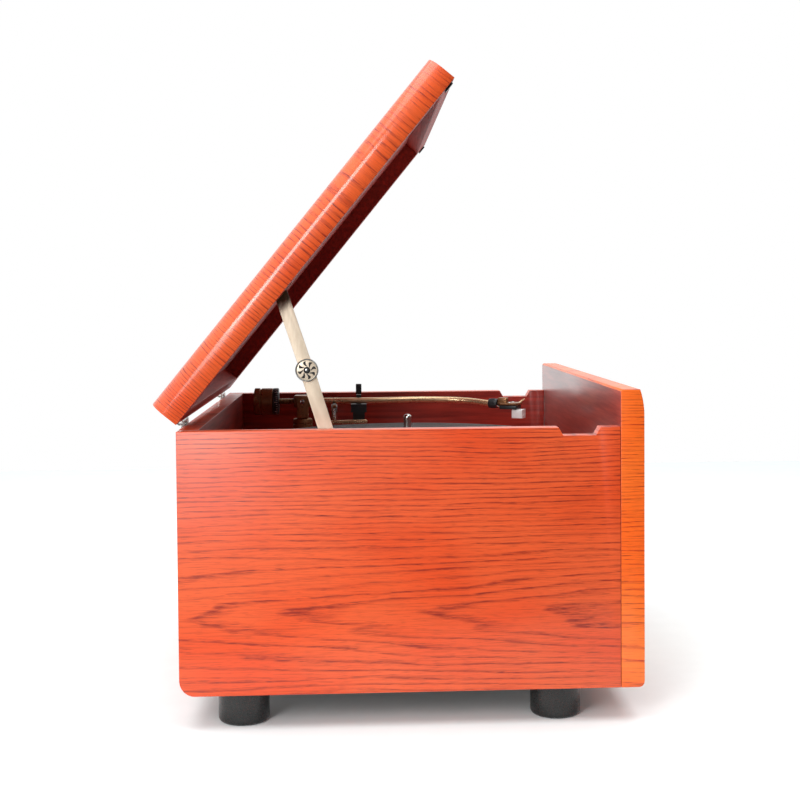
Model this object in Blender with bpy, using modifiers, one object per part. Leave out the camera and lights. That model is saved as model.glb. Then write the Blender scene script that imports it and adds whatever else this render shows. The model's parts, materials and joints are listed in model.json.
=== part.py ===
"""A wooden tabletop record player with its lid open, as an assembly of separate named pieces.

Metres, +Z up. X runs across the case, the front faces -Y. The origin is under the middle of the
object's box, on the surface that the feet stand on.
"""

from math import acos, asin, atan2, cos, degrees, hypot, pi, radians, sin

import bmesh
import bpy
from mathutils import Vector

# ---- driving dimensions -------------------------------------------------------------------------
CASE_WIDTH = 0.440
SIDE_LENGTH = 0.335          # rear face to the back of the front panel
FRONT_THICKNESS = 0.018
PANEL = 0.015                # side and rear panels
SHEET = 0.009                # bottom panel and deck
FOOT_HEIGHT = 0.0265
SIDE_TOP = 0.2262
FRONT_TOP = 0.2545
KNOB_REACH = 0.016           # how far the knobs stand out of the front
GAP = 0.0003                 # between pieces that touch
WALL_GAP = 0.002             # between the lid and the case

LID_THICKNESS = 0.024
LID_OPEN = radians(50.85)
LID_SIDE_RADIUS = 0.013
LID_END_RADIUS = 0.0025
LID_RIM = 0.014
LID_RECESS = 0.0155
HINGE_BEHIND = 0.003         # hinge axis behind the rear face
HINGE_Z = 0.2294
LID_REAR_INSET = 0.0005

DECK_TOP = 0.182
SPINDLE_X = -0.029
SPINDLE_IN = 0.180           # distance in front of the rear face
PLATTER_RADIUS = 0.140
PLATTER_TOP = 0.199
MAT_TOP = 0.202
SPINDLE_TOP = 0.222
SPINDLE_RADIUS = 0.0035
HUB_RADIUS = 0.062           # the ring under the platter that the belt runs on

ARM_X = 0.150
ARM_IN = 0.080
TUBE_Z = 0.2215
TUBE_RADIUS = 0.003
HEAD_TURN = radians(25.0)    # the headshell's offset angle

# ---- sizes that follow ---------------------------------------------------------------------------
HALF = CASE_WIDTH / 2
INNER = HALF - PANEL
DEPTH = SIDE_LENGTH + FRONT_THICKNESS
LID_LENGTH = SIDE_LENGTH - LID_REAR_INSET - WALL_GAP
RIM_Z = SIDE_TOP + WALL_GAP
DECK_BOTTOM = DECK_TOP - SHEET


def lid_overhang():
    """How far the open lid's rear edge reaches behind the case's rear face."""
    centre_back = -HINGE_BEHIND - LID_REAR_INSET - LID_END_RADIUS
    centre_up = RIM_Z + LID_THICKNESS - LID_END_RADIUS - HINGE_Z
    return HINGE_BEHIND + centre_back * cos(LID_OPEN) + centre_up * sin(LID_OPEN) + LID_END_RADIUS


REAR = (DEPTH + KNOB_REACH - lid_overhang()) / 2


def y_at(distance):
    """Y of what lies this far in front of the rear face."""
    return REAR - distance


FRONT = y_at(DEPTH)
PANEL_BACK = y_at(SIDE_LENGTH)
ARM_Y = y_at(ARM_IN)
SPINDLE_Y = y_at(SPINDLE_IN)
HINGE_Y = REAR + HINGE_BEHIND


# ---- colours: base colour, roughness, metallic ---------------------------------------------------
VENEER = ((0.72, 0.13, 0.035), 0.35, 0.0)
BROWN = ((0.23, 0.05, 0.02), 0.5, 0.0)
BOARD = ((0.45, 0.32, 0.2), 0.8, 0.0)
BLACK = ((0.02, 0.02, 0.022), 0.45, 0.0)
RUBBER = ((0.03, 0.03, 0.03), 0.8, 0.0)
BRASS = ((0.62, 0.42, 0.24), 0.3, 1.0)
BRONZE = ((0.3, 0.19, 0.11), 0.35, 1.0)
STEEL = ((0.75, 0.75, 0.73), 0.3, 1.0)
ZINC = ((0.72, 0.66, 0.58), 0.4, 1.0)
CREAM = ((0.75, 0.68, 0.55), 0.5, 0.0)
WHITE = ((0.85, 0.85, 0.84), 0.4, 0.0)
CLOTH = ((0.3, 0.21, 0.12), 0.9, 0.0)
PAPER = ((0.05, 0.045, 0.04), 0.9, 0.0)
GREEN = ((0.03, 0.2, 0.08), 0.5, 0.0)


# ---- helpers -------------------------------------------------------------------------------------
def clear_scene():
    for obj in list(bpy.data.objects):
        bpy.data.objects.remove(obj, do_unlink=True)


def new_collection(name):
    collection = bpy.data.collections.new(name)
    bpy.context.scene.collection.children.link(collection)
    return collection


clear_scene()
PARTS = new_collection("record_player")
CUTTERS = new_collection("cutters")


def material(name, look):
    colour, roughness, metallic = look
    made = bpy.data.materials.new(name)
    made.use_nodes = True
    shader = made.node_tree.nodes["Principled BSDF"]
    shader.inputs["Base Color"].default_value = (*colour, 1.0)
    shader.inputs["Roughness"].default_value = roughness
    shader.inputs["Metallic"].default_value = metallic
    return made


def add_object(name, data, look=None, location=(0, 0, 0), rotation=(0, 0, 0)):
    """Links a new object: a part with its own material, or a cutter when it has no look."""
    obj = bpy.data.objects.new(name, data)
    obj.location = location
    obj.rotation_euler = rotation
    if look is None:
        CUTTERS.objects.link(obj)
        obj.hide_render = True
        obj.display_type = "WIRE"
    else:
        PARTS.objects.link(obj)
        data.materials.append(material(name, look))
    return obj


def axis_empty(name, location, rotation=(0, 0, 0), parent=None):
    """An empty on a joint's axis, which the pieces that turn or slide there are parented to."""
    empty = bpy.data.objects.new(name, None)
    PARTS.objects.link(empty)
    empty.location = location
    empty.rotation_euler = rotation
    if parent:
        attach(parent, empty)
    return empty


def attach(parent, *children):
    """Parents the children and leaves them where they are."""
    bpy.context.view_layer.update()
    for child in children:
        child.parent = parent
        child.matrix_parent_inverse = parent.matrix_world.inverted()


def box(name, low, high, look=None, bevel=0.0):
    """A box between two corners, with its edges bevelled if a width is given."""
    size = [high[i] - low[i] for i in range(3)]
    centre = [(high[i] + low[i]) / 2 for i in range(3)]
    mesh = bpy.data.meshes.new(name)
    shape = bmesh.new()
    bmesh.ops.create_cube(shape, size=1.0)
    bmesh.ops.scale(shape, vec=size, verts=shape.verts)
    shape.to_mesh(mesh)
    shape.free()
    obj = add_object(name, mesh, look, centre)
    if bevel:
        add_bevel(obj, bevel)
    return obj


def add_bevel(obj, width, segments=2):
    bevel = obj.modifiers.new("edges", "BEVEL")
    bevel.width = width
    bevel.segments = segments
    bevel.limit_method = "ANGLE"
    bevel.angle_limit = radians(40)
    return bevel


UPRIGHT = (0, 0, 0)
ALONG_X = (0, pi / 2, 0)     # the turned shape's top faces +X
ALONG_Y = (-pi / 2, 0, 0)    # the turned shape's top faces +Y
TO_FRONT = (pi / 2, 0, 0)    # the turned shape's top faces -Y


def turned(name, profile, location, look=None, steps=24, ring=False, rotation=UPRIGHT):
    """Spins a profile of (radius, height) points, listed down the outer side, round local Z."""
    mesh = bpy.data.meshes.new(name)
    edges = [(i, i + 1) for i in range(len(profile) - 1)]
    if ring:
        edges.append((len(profile) - 1, 0))
    mesh.from_pydata([(radius, 0, height) for radius, height in profile], edges, [])
    obj = add_object(name, mesh, look, location, rotation)
    screw = obj.modifiers.new("turn", "SCREW")
    screw.steps = steps
    screw.render_steps = steps
    screw.use_merge_vertices = True
    screw.merge_threshold = 0.00001
    screw.use_smooth_shade = False
    return obj


def rod(name, radius, low, high, location, look=None, steps=16, rotation=UPRIGHT, bevel=0.0):
    """A cylinder from height low to height high along local Z, with small bevelled rims."""
    profile = [(0, high), (radius - bevel, high), (radius, high - bevel)]
    profile += [(radius, low + bevel), (radius - bevel, low), (0, low)]
    if not bevel:
        profile = [(0, high), (radius, high), (radius, low), (0, low)]
    return turned(name, profile, location, look, steps, rotation=rotation)


def tube_ring(name, outer, inner, low, high, location, look=None, steps=24, rotation=UPRIGHT):
    """A round ring with a through hole."""
    profile = [(outer, high), (outer, low), (inner, low), (inner, high)]
    return turned(name, profile, location, look, steps, ring=True, rotation=rotation)


IN_YZ = (pi / 2, 0, pi / 2)  # outline drawn in Y and Z, thickness along X
IN_XZ = (pi / 2, 0, 0)       # outline drawn in X and Z, thickness along Y
IN_XY = (0, 0, 0)


def plate(name, loops, thickness, location, look=None, rotation=IN_XY):
    """A flat piece: the first loop is its outline, and the others are holes."""
    curve = bpy.data.curves.new(name, "CURVE")
    curve.dimensions = "2D"
    curve.fill_mode = "BOTH"
    curve.extrude = thickness / 2
    for loop in loops:
        spline = curve.splines.new("POLY")
        spline.points.add(len(loop) - 1)
        for point, (across, up) in zip(spline.points, loop):
            point.co = (across, up, 0, 1)
        spline.use_cyclic_u = True
    return add_object(name, curve, look, location, rotation)


def arc(centre, radius, start, end, steps=6):
    """Points on an arc between two angles in degrees."""
    points = []
    for step in range(steps + 1):
        angle = radians(start + (end - start) * step / steps)
        points.append((centre[0] + radius * cos(angle), centre[1] + radius * sin(angle)))
    return points


def circle(centre, radius, steps=20):
    return arc(centre, radius, 0, 360, steps)[:-1]


def rounded(low, high, radius, steps=4):
    """A rectangle with round corners."""
    left, right = low[0] + radius, high[0] - radius
    bottom, top = low[1] + radius, high[1] - radius
    points = arc((right, top), radius, 0, 90, steps)
    points += arc((left, top), radius, 90, 180, steps)
    points += arc((left, bottom), radius, 180, 270, steps)
    points += arc((right, bottom), radius, 270, 360, steps)
    return points


def slot_outline(start, end, radius, steps=8):
    """A bar with round ends between two points."""
    angle = degrees(atan2(end[1] - start[1], end[0] - start[0]))
    far_end = arc(end, radius, angle - 90, angle + 90, steps)
    return far_end + arc(start, radius, angle + 90, angle + 270, steps)


def to_mesh(obj):
    """Turns a curve object into a mesh object with welded caps."""
    bpy.context.view_layer.update()
    evaluated = obj.evaluated_get(bpy.context.evaluated_depsgraph_get())
    mesh = bpy.data.meshes.new_from_object(evaluated)
    shape = bmesh.new()
    shape.from_mesh(mesh)
    bmesh.ops.remove_doubles(shape, verts=shape.verts, dist=0.00001)
    bmesh.ops.recalc_face_normals(shape, faces=shape.faces)
    shape.to_mesh(mesh)
    shape.free()
    solid = bpy.data.objects.new("solid", mesh)
    for collection in obj.users_collection:
        collection.objects.link(solid)
    solid.matrix_world = obj.matrix_world
    solid.hide_render = obj.hide_render
    solid.display_type = obj.display_type
    name = obj.name
    bpy.data.objects.remove(obj, do_unlink=True)
    solid.name = name
    return solid


def combine(obj, other, operation):
    """Joins or cuts an object with another, which then moves with it."""
    attach(obj, other)
    change = obj.modifiers.new(other.name, "BOOLEAN")
    change.operation = operation
    change.solver = "EXACT"
    change.object = other


def cut(obj, *cutters):
    for cutter in cutters:
        combine(obj, cutter, "DIFFERENCE")


def unite(obj, *others):
    for other in others:
        combine(obj, other, "UNION")


# ---- the case ------------------------------------------------------------------------------------
REAR_CORNER = 0.012          # radius of the case's bottom rear corner
NOTCH_REAR = 0.2875          # the finger notch's ends, in front of the rear face
NOTCH_FRONT = 0.3196
NOTCH_DEPTH = 0.0062


def rear_corner_arc():
    return arc((REAR - REAR_CORNER, FOOT_HEIGHT + REAR_CORNER), REAR_CORNER, 0, -90)


def make_side_panels():
    """Two boards with a rounded bottom rear corner and a finger notch near the front."""
    notch_z = SIDE_TOP - NOTCH_DEPTH
    slope = NOTCH_DEPTH * 0.56
    notch = [(y_at(NOTCH_FRONT), SIDE_TOP), (y_at(NOTCH_FRONT - slope), notch_z)]
    notch += [(y_at(NOTCH_REAR + slope), notch_z), (y_at(NOTCH_REAR), SIDE_TOP)]
    front = y_at(SIDE_LENGTH - GAP)
    outline = rear_corner_arc() + [(front, FOOT_HEIGHT), (front, SIDE_TOP)] + notch + [(REAR, SIDE_TOP)]
    for side, name in ((-1, "side_panel_left"), (1, "side_panel_right")):
        plate(name, [outline], PANEL, (side * (HALF - PANEL / 2), 0, 0), VENEER, IN_YZ)


SOCKETS = ((-0.150, 0.085, 0.060, 0.036), (0.140, 0.080, 0.040, 0.028))  # x, z, width, height


def make_rear_panel():
    """The rear board, with cut-outs for the phono sockets and the mains inlet."""
    outline = rear_corner_arc() + [(y_at(PANEL), FOOT_HEIGHT), (y_at(PANEL), SIDE_TOP), (REAR, SIDE_TOP)]
    panel = to_mesh(plate("rear_panel", [outline], 2 * (INNER - GAP), (0, 0, 0), VENEER, IN_YZ))
    for number, (x, z, width, height) in enumerate(SOCKETS):
        low = (x - width / 2, y_at(2 * PANEL), z - height / 2)
        high = (x + width / 2, y_at(-PANEL), z + height / 2)
        cut(panel, box(f"rear_cut_{number}", low, high))


FOOT_X = 0.191
FOOT_IN = (0.046, 0.288)
FOOT_RADIUS = 0.0195
SCREW_HOLE = 0.0024
SCREW_WELL = 0.0038          # radius of the counterbore that takes the screw's head
WELL_DEPTH = 0.016


def foot_places():
    return [(side * FOOT_X, y_at(distance)) for distance in FOOT_IN for side in (-1, 1)]


def make_bottom_panel():
    """The bottom board, drilled for the feet's screws."""
    low = (-INNER + GAP, PANEL_BACK + GAP)
    high = (INNER - GAP, y_at(PANEL + GAP))
    loops = [rounded(low, high, 0.001, 1)] + [circle(place, SCREW_HOLE, 12) for place in foot_places()]
    plate("bottom_panel", loops, SHEET, (0, 0, FOOT_HEIGHT + SHEET / 2), BOARD)


def make_feet():
    """Four turned feet, each with a deep hole for its screw."""
    top = FOOT_HEIGHT - GAP
    profile = [(FOOT_RADIUS, top), (FOOT_RADIUS, 0.003), (FOOT_RADIUS - 0.002, 0), (SCREW_WELL, 0)]
    profile += [(SCREW_WELL, WELL_DEPTH), (SCREW_HOLE, WELL_DEPTH), (SCREW_HOLE, top)]
    names = ("foot_rear_left", "foot_rear_right", "foot_front_left", "foot_front_right")
    for name, (x, y) in zip(names, foot_places()):
        turned(name, profile, (x, y, 0), RUBBER, 28, ring=True)


# ---- the front -----------------------------------------------------------------------------------
SPEAKER_X = 0.150
SPEAKER_Z = 0.128
SPEAKER_HOLE = 0.036
GRILLE_HALF = (0.054, 0.078)     # half width and half height
GRILLE_Z = 0.140
GRILLE_DEPTH = 0.008
DIAL_Z = 0.190
DIAL_HALF = (0.055, 0.015)
KNOB_Z = 0.112
KNOB_X = (-0.052, 0.0, 0.052)
PLATE_LOW = (-0.080, 0.066)
PLATE_HIGH = (0.080, 0.218)
PLATE_DEPTH = 0.0022
SHAFT_RADIUS = 0.003
SHAFT_HOLE = SHAFT_RADIUS + 0.001


def make_front_panel():
    """The thick front board: a softly rounded top, grille recesses, speaker holes and the dial window."""
    fall = 0.0032                # how far the rounding falls back at the top
    rise = 0.0196                # how far down the front it reaches
    radius = (fall * fall + rise * rise) / (2 * fall)
    sweep = degrees(asin(rise / radius))
    edge = 0.0015
    top_arc = arc((FRONT + radius, FRONT_TOP - rise), radius, 180, 180 - sweep, 5)
    foot = 0.0045                # radius of the lower front edge
    foot_arc = arc((FRONT + foot, FOOT_HEIGHT + foot), foot, 270, 180, 4)
    outline = [(PANEL_BACK, FRONT_TOP - edge), (PANEL_BACK, FOOT_HEIGHT)] + foot_arc + top_arc
    outline += [(PANEL_BACK - edge, FRONT_TOP)]
    panel = to_mesh(plate("front_panel", [outline], CASE_WIDTH, (0, 0, 0), VENEER, IN_YZ))
    for side in (-1, 1):
        name = "left" if side < 0 else "right"
        x = side * SPEAKER_X
        low = (x - GRILLE_HALF[0], FRONT - 0.01, GRILLE_Z - GRILLE_HALF[1])
        high = (x + GRILLE_HALF[0], FRONT + GRILLE_DEPTH, GRILLE_Z + GRILLE_HALF[1])
        place = (x, FRONT, SPEAKER_Z)
        hole = rod(f"speaker_cut_{name}", SPEAKER_HOLE, -0.03, 0.03, place, None, 32, TO_FRONT)
        cut(panel, box(f"grille_cut_{name}", low, high), hole)
    low = (PLATE_LOW[0] - GAP, FRONT - 0.01, PLATE_LOW[1] - GAP)
    high = (PLATE_HIGH[0] + GAP, FRONT + PLATE_DEPTH, PLATE_HIGH[1] + GAP)
    window_low = (-DIAL_HALF[0], FRONT - 0.01, DIAL_Z - DIAL_HALF[1])
    window_high = (DIAL_HALF[0], FRONT + 0.016, DIAL_Z + DIAL_HALF[1])
    cut(panel, box("plate_cut", low, high), box("window_cut", window_low, window_high))
    for number, x in enumerate(KNOB_X):
        place = (x, FRONT, KNOB_Z)
        cut(panel, rod(f"shaft_cut_{number}", SHAFT_HOLE, -0.03, 0.03, place, None, 12, TO_FRONT))


def make_grilles():
    """A frame with a cloth behind it in each grille recess."""
    for side, name in ((-1, "left"), (1, "right")):
        x = side * SPEAKER_X
        half_w, half_h = (size - GAP for size in GRILLE_HALF)
        outer = rounded((-half_w, -half_h), (half_w, half_h), 0.001, 1)
        inner = rounded((-half_w + 0.009, -half_h + 0.009), (half_w - 0.009, half_h - 0.009), 0.004, 3)
        place = (x, FRONT + 0.003, GRILLE_Z)
        plate(f"grille_frame_{name}", [outer, inner], 0.005, place, BROWN, IN_XZ)
        low = (x - half_w, FRONT + 0.0058, GRILLE_Z - half_h)
        high = (x + half_w, FRONT + 0.0076, GRILLE_Z + half_h)
        box(f"grille_cloth_{name}", low, high, CLOTH)


def make_speakers():
    """Two drivers behind the front panel: basket and magnet behind, dished cone and dust cap in front."""
    profile = [(0, -0.0185), (0.007, -0.0190), (0.0115, -0.0215), (0.031, -0.0045), (0.034, -0.0015)]
    profile += [(0.036, -GAP), (0.043, -GAP), (0.043, -0.0025), (0.036, -0.0025), (0.024, -0.024)]
    profile += [(0.026, -0.024), (0.026, -0.040), (0, -0.040)]
    for side, name in ((-1, "speaker_left"), (1, "speaker_right")):
        turned(name, profile, (side * SPEAKER_X, PANEL_BACK, SPEAKER_Z), BLACK, 28, rotation=TO_FRONT)


def make_control_plate():
    """The metal plate round the dial and the knobs."""
    outer = rounded(PLATE_LOW, PLATE_HIGH, 0.001, 1)
    dial_low = (-DIAL_HALF[0] + 0.003, DIAL_Z - DIAL_HALF[1] + 0.003)
    dial_high = (DIAL_HALF[0] - 0.003, DIAL_Z + DIAL_HALF[1] - 0.003)
    holes = [rounded(dial_low, dial_high, 0.003, 3)]
    holes += [circle((x, KNOB_Z), SHAFT_HOLE, 12) for x in KNOB_X]
    place = (0, FRONT + PLATE_DEPTH / 2 + 0.0001, 0)
    plate("control_plate", [outer] + holes, PLATE_DEPTH - 2 * GAP, place, BRASS, IN_XZ)


def make_dial():
    """The dial: a glass pane, a printed scale behind it and a pointer that slides between them."""
    half_w, half_h = (size - GAP for size in DIAL_HALF)
    low_z, high_z = DIAL_Z - half_h, DIAL_Z + half_h
    box("dial_glass", (-half_w, FRONT + 0.0026, low_z), (half_w, FRONT + 0.0050, high_z), WHITE)
    box("dial_scale", (-half_w, FRONT + 0.0130, low_z), (half_w, FRONT + 0.0155, high_z), CREAM)
    slider = axis_empty("dial_slide", (0, FRONT + 0.009, DIAL_Z))
    low, high = (-0.0008, FRONT + 0.0080, low_z + 0.001), (0.0008, FRONT + 0.0096, high_z - 0.001)
    attach(slider, box("dial_pointer", low, high, BRONZE))


def make_knobs():
    """Three turned knobs on shafts that run through the front panel."""
    skirt = KNOB_REACH
    profile = [(0, skirt), (0.0095, skirt), (0.011, skirt - 0.0015), (0.0125, 0.0035), (0.014, 0.003)]
    profile += [(0.014, 0.0006), (SHAFT_RADIUS, 0.0006), (SHAFT_RADIUS, -0.040), (0, -0.040)]
    for name, x in zip(("volume_knob", "function_knob", "tuning_knob"), KNOB_X):
        place = (x, FRONT, KNOB_Z)
        knob = turned(name, profile, place, BRONZE, 28, rotation=TO_FRONT)
        attach(axis_empty(name + "_axis", place), knob)


# ---- inside and behind ---------------------------------------------------------------------------
def make_electronics():
    """The circuit board on its posts, with the transformer and the larger parts."""
    floor = FOOT_HEIGHT + SHEET + GAP
    under, on_top = floor + 0.0095, floor + 0.0105
    posts = [
        rod(f"post_{x}_{y}", 0.004, floor, on_top - 0.0005, (x, y_at(y), 0), None, 8)
        for x in (-0.045, 0.045)
        for y in (0.075, 0.145)
    ]
    board = box("circuit_board", (-0.060, y_at(0.160), under), (0.060, y_at(0.060), under + 0.0016), GREEN)
    transformer = box("transformer", (-0.050, y_at(0.120), on_top), (-0.005, y_at(0.080), floor + 0.048))
    capacitor = rod("capacitor", 0.009, on_top, floor + 0.036, (0.020, y_at(0.085), 0), None, 16)
    sink = box("heat_sink", (0.015, y_at(0.150), on_top), (0.055, y_at(0.135), floor + 0.032))
    unite(board, *posts, transformer, capacitor, sink)


def socket_box(name, opening, depth, stand_out):
    """A block that fills one of the rear panel's cut-outs."""
    x, z, width, height = opening
    half_w, half_h = width / 2 - GAP, height / 2 - GAP
    low = (x - half_w, y_at(depth), z - half_h)
    high = (x + half_w, y_at(-stand_out), z + half_h)
    return box(name, low, high, BLACK)


def make_phono_sockets():
    """Two round sockets on a plate set back in its cut-out, so that they stay behind the panel's face."""
    x, z = SOCKETS[0][:2]
    socket_plate = socket_box("phono_sockets", SOCKETS[0], 0.0146, -0.0105)
    for number, offset in enumerate((-0.014, 0.014)):
        place = (x + offset, REAR, z)
        collar = rod(f"socket_{number}", 0.0055, -0.0135, -0.0005, place, None, 16, ALONG_Y)
        bore = rod(f"socket_bore_{number}", 0.0022, -0.0125, 0.01, place, None, 12, ALONG_Y)
        unite(socket_plate, collar)
        cut(socket_plate, bore)


def make_mains_inlet():
    """A socket for a mains lead, with two pins in its well."""
    x, z = SOCKETS[1][:2]
    inlet = socket_box("mains_inlet", SOCKETS[1], 0.024, 0.0015)
    well = box("inlet_well", (x - 0.011, y_at(0.014), z - 0.006), (x + 0.011, y_at(-0.01), z + 0.006))
    cut(inlet, well)
    for number, offset in enumerate((-0.0045, 0.0045)):
        place = (x + offset, REAR, z)
        unite(inlet, rod(f"inlet_pin_{number}", 0.0012, -0.016, -0.004, place, None, 8, ALONG_Y))


# ---- the deck and the drive ----------------------------------------------------------------------
PULLEY_RADIUS = 0.007
PULLEY_OFFSET = 0.078        # of the motor, to the left and to the front of the spindle
BEARING_RADIUS = 0.0146
BELT = 0.0008                # belt thickness
PULLEY_X = SPINDLE_X - PULLEY_OFFSET
PULLEY_Y = SPINDLE_Y - PULLEY_OFFSET


def make_deck():
    """The deck board with its holes for the bearing and the motor's shaft."""
    low = (-INNER + GAP, PANEL_BACK + GAP)
    high = (INNER - GAP, y_at(PANEL + GAP))
    loops = [rounded(low, high, 0.001, 1)]
    loops.append(circle((SPINDLE_X, SPINDLE_Y), BEARING_RADIUS + GAP, 24))
    loops.append(circle((PULLEY_X, PULLEY_Y), 0.005, 16))
    plate("deck_plate", loops, SHEET, (0, 0, DECK_TOP - SHEET / 2), BROWN)


def make_platter():
    """The platter with its rim and belt ring, the mat, the spindle and the bearing it turns in."""
    centre = (SPINDLE_X, SPINDLE_Y, 0)
    axis = axis_empty("platter_axis", centre)
    bore = SPINDLE_RADIUS + GAP
    under = DECK_TOP + 0.0025
    web = PLATTER_TOP - 0.006
    rim = PLATTER_RADIUS
    profile = [(rim - 0.002, PLATTER_TOP), (rim, PLATTER_TOP - 0.002), (rim, under), (rim - 0.005, under)]
    profile += [(rim - 0.005, web), (HUB_RADIUS, web), (HUB_RADIUS, under), (HUB_RADIUS - 0.004, under)]
    profile += [(HUB_RADIUS - 0.004, web), (bore, web), (bore, PLATTER_TOP)]
    platter = turned("platter", profile, centre, STEEL, 56, ring=True)
    mat_low = PLATTER_TOP + GAP
    mat_profile = [(0.1355, MAT_TOP), (0.1365, mat_low), (bore, mat_low), (bore, MAT_TOP)]
    mat = turned("platter_mat", mat_profile, centre, RUBBER, 56, ring=True)
    radius = SPINDLE_RADIUS
    pin = [(0, SPINDLE_TOP), (0.0016, SPINDLE_TOP - 0.0003), (0.0029, SPINDLE_TOP - 0.0014)]
    pin += [(radius, SPINDLE_TOP - 0.003), (radius, 0.150), (0, 0.150)]
    spindle = turned("spindle", pin, centre, STEEL, 16)
    attach(axis, platter, mat, spindle)
    inner = SPINDLE_RADIUS + GAP
    bearing = [(0, 0.148), (inner, 0.148), (inner, DECK_TOP + 0.0015), (BEARING_RADIUS, DECK_TOP + 0.0015)]
    bearing += [(BEARING_RADIUS, DECK_BOTTOM), (0.010, DECK_BOTTOM - 0.004), (0.010, 0.145), (0, 0.145)]
    turned("platter_bearing", bearing, centre, BRASS, 24)


def belt_loop(large, small):
    """The outline of a belt round the platter's ring and the motor's pulley."""
    apart = hypot(PULLEY_X - SPINDLE_X, PULLEY_Y - SPINDLE_Y)
    towards = degrees(atan2(PULLEY_Y - SPINDLE_Y, PULLEY_X - SPINDLE_X))
    lean = degrees(acos((large - small) / apart))
    points = arc((SPINDLE_X, SPINDLE_Y), large, towards + lean, towards + 360 - lean, 28)
    return points + arc((PULLEY_X, PULLEY_Y), small, towards - lean, towards + lean, 8)


def make_drive():
    """The motor under the deck, its pulley and shaft, and the belt."""
    low, high = DECK_TOP + 0.0035, DECK_TOP + 0.0085
    top = DECK_BOTTOM - GAP
    case = [(0, 0.150), (0.0021, 0.150), (0.0021, top), (0.016, top), (0.0175, top - 0.002), (0.0175, 0.142)]
    case += [(0.006, 0.139), (0, 0.139)]
    turned("motor", case, (PULLEY_X, PULLEY_Y, 0), STEEL, 24)
    radius = PULLEY_RADIUS
    flange = radius + 0.0015
    shaft = 0.0015
    profile = [(0, high + 0.001), (flange, high + 0.001), (flange, high + 0.0004), (radius, high)]
    profile += [(radius, low), (flange, low - 0.0004), (flange, low - 0.001), (shaft, low - 0.001)]
    profile += [(shaft, 0.152), (0, 0.152)]
    place = (PULLEY_X, PULLEY_Y, 0)
    attach(axis_empty("pulley_axis", place), turned("motor_pulley", profile, place, BRASS, 20))
    outer = belt_loop(HUB_RADIUS + GAP + BELT, radius + GAP + BELT)
    inner = belt_loop(HUB_RADIUS + GAP, radius + GAP)
    plate("drive_belt", [outer, inner], high - low - 2 * GAP, (0, 0, (low + high) / 2), RUBBER)


def make_speed_selector():
    """A three-place slide lever on the deck, in front of the arm's rest."""
    place = Vector((0.172, y_at(0.245), DECK_TOP))
    low, high = place + Vector((-0.004, -0.005, GAP)), place + Vector((0.004, 0.005, 0.006))
    attach(axis_empty("speed_slide", place), box("speed_selector", low, high, BLACK, 0.0008))


# ---- the tonearm ---------------------------------------------------------------------------------
YOKE_LOW = 0.2043
BLOCK_HALF = (0.0065, 0.0085, 0.006)
HEAD_AT = (-0.0133, 0.1890, -0.0032)  # end of the tube, across, ahead of and above the arm's pivot
LIFT_IN = 0.112              # where the cue lift meets the tube
REST_IN = 0.137              # where the rest holds it


def make_arm_base():
    """The fixed base that the arm's yoke turns on."""
    low = DECK_TOP + GAP
    top = YOKE_LOW - GAP
    profile = [(0, top), (0.009, top), (0.010, top - 0.0017), (0.010, 0.190), (0.019, 0.1872)]
    profile += [(0.020, low), (0, low)]
    turned("arm_base", profile, (ARM_X, ARM_Y, 0), BRONZE, 24)


def make_arm_yoke(swing):
    """The U-shaped yoke that swings on the base and holds the arm's bearing block."""
    outer, inner, top, floor = 0.0100, 0.0073, 0.0230, 0.0030
    outline = [(-outer, 0), (outer, 0), (outer, top), (inner, top), (inner, floor)]
    outline += [(-inner, floor), (-inner, top), (-outer, top)]
    yoke = plate("arm_yoke", [outline], 0.011, (ARM_X, ARM_Y, YOKE_LOW), BRONZE, IN_XZ)
    attach(swing, yoke)


def make_arm_tube(tilt):
    """The S-shaped tube, and the bearing block with the stub that carries the counterweight."""
    curve = bpy.data.curves.new("arm_tube", "CURVE")
    curve.dimensions = "3D"
    curve.bevel_depth = TUBE_RADIUS
    curve.bevel_resolution = 2
    curve.resolution_u = 6
    curve.use_fill_caps = True
    spline = curve.splines.new("BEZIER")
    knots = ((0, 0.0088, 0), (0, 0.075, 0), (0.004, 0.130, 0), (-0.001, 0.165, -0.0010), HEAD_AT)
    spline.bezier_points.add(len(knots) - 1)
    for point, (x, forward, z) in zip(spline.bezier_points, knots):
        point.co = (x, -forward, z)
        point.handle_left_type = "AUTO"
        point.handle_right_type = "AUTO"
    tube = add_object("arm_tube", curve, BRASS, (ARM_X, ARM_Y, TUBE_Z))
    across, along, up = BLOCK_HALF
    centre = Vector((ARM_X, ARM_Y, TUBE_Z))
    corner = Vector((across, along, up))
    block = box("arm_block", centre - corner, centre + corner, BRONZE, 0.001)
    stub = rod("arm_stub", 0.003, 0.007, 0.042, centre, None, 12, ALONG_Y)
    unite(block, stub)
    attach(tilt, tube, block)


def make_counterweight(tilt):
    """The counterweight and its dial ring, on the stub behind the bearing block."""
    axis = axis_empty("weight_axis", (ARM_X, ARM_Y, TUBE_Z), parent=tilt)
    rear, front, dial_front = (ARM_IN - distance for distance in (0.031, 0.050, 0.056))
    radius, bore = 0.0135, 0.0034
    bore_end = ARM_IN - 0.036
    weight = [(0, rear), (radius - 0.001, rear), (radius, rear - 0.001), (radius, front), (bore, front)]
    weight += [(bore, bore_end), (0, bore_end)]
    place = (ARM_X, ARM_Y, TUBE_Z)
    body = turned("counterweight", weight, place, BRONZE, 28, rotation=ALONG_Y)
    ring = tube_ring("weight_dial", radius, bore, dial_front, front - GAP, place, BLACK, 28, ALONG_Y)
    attach(axis, body, ring)


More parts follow.
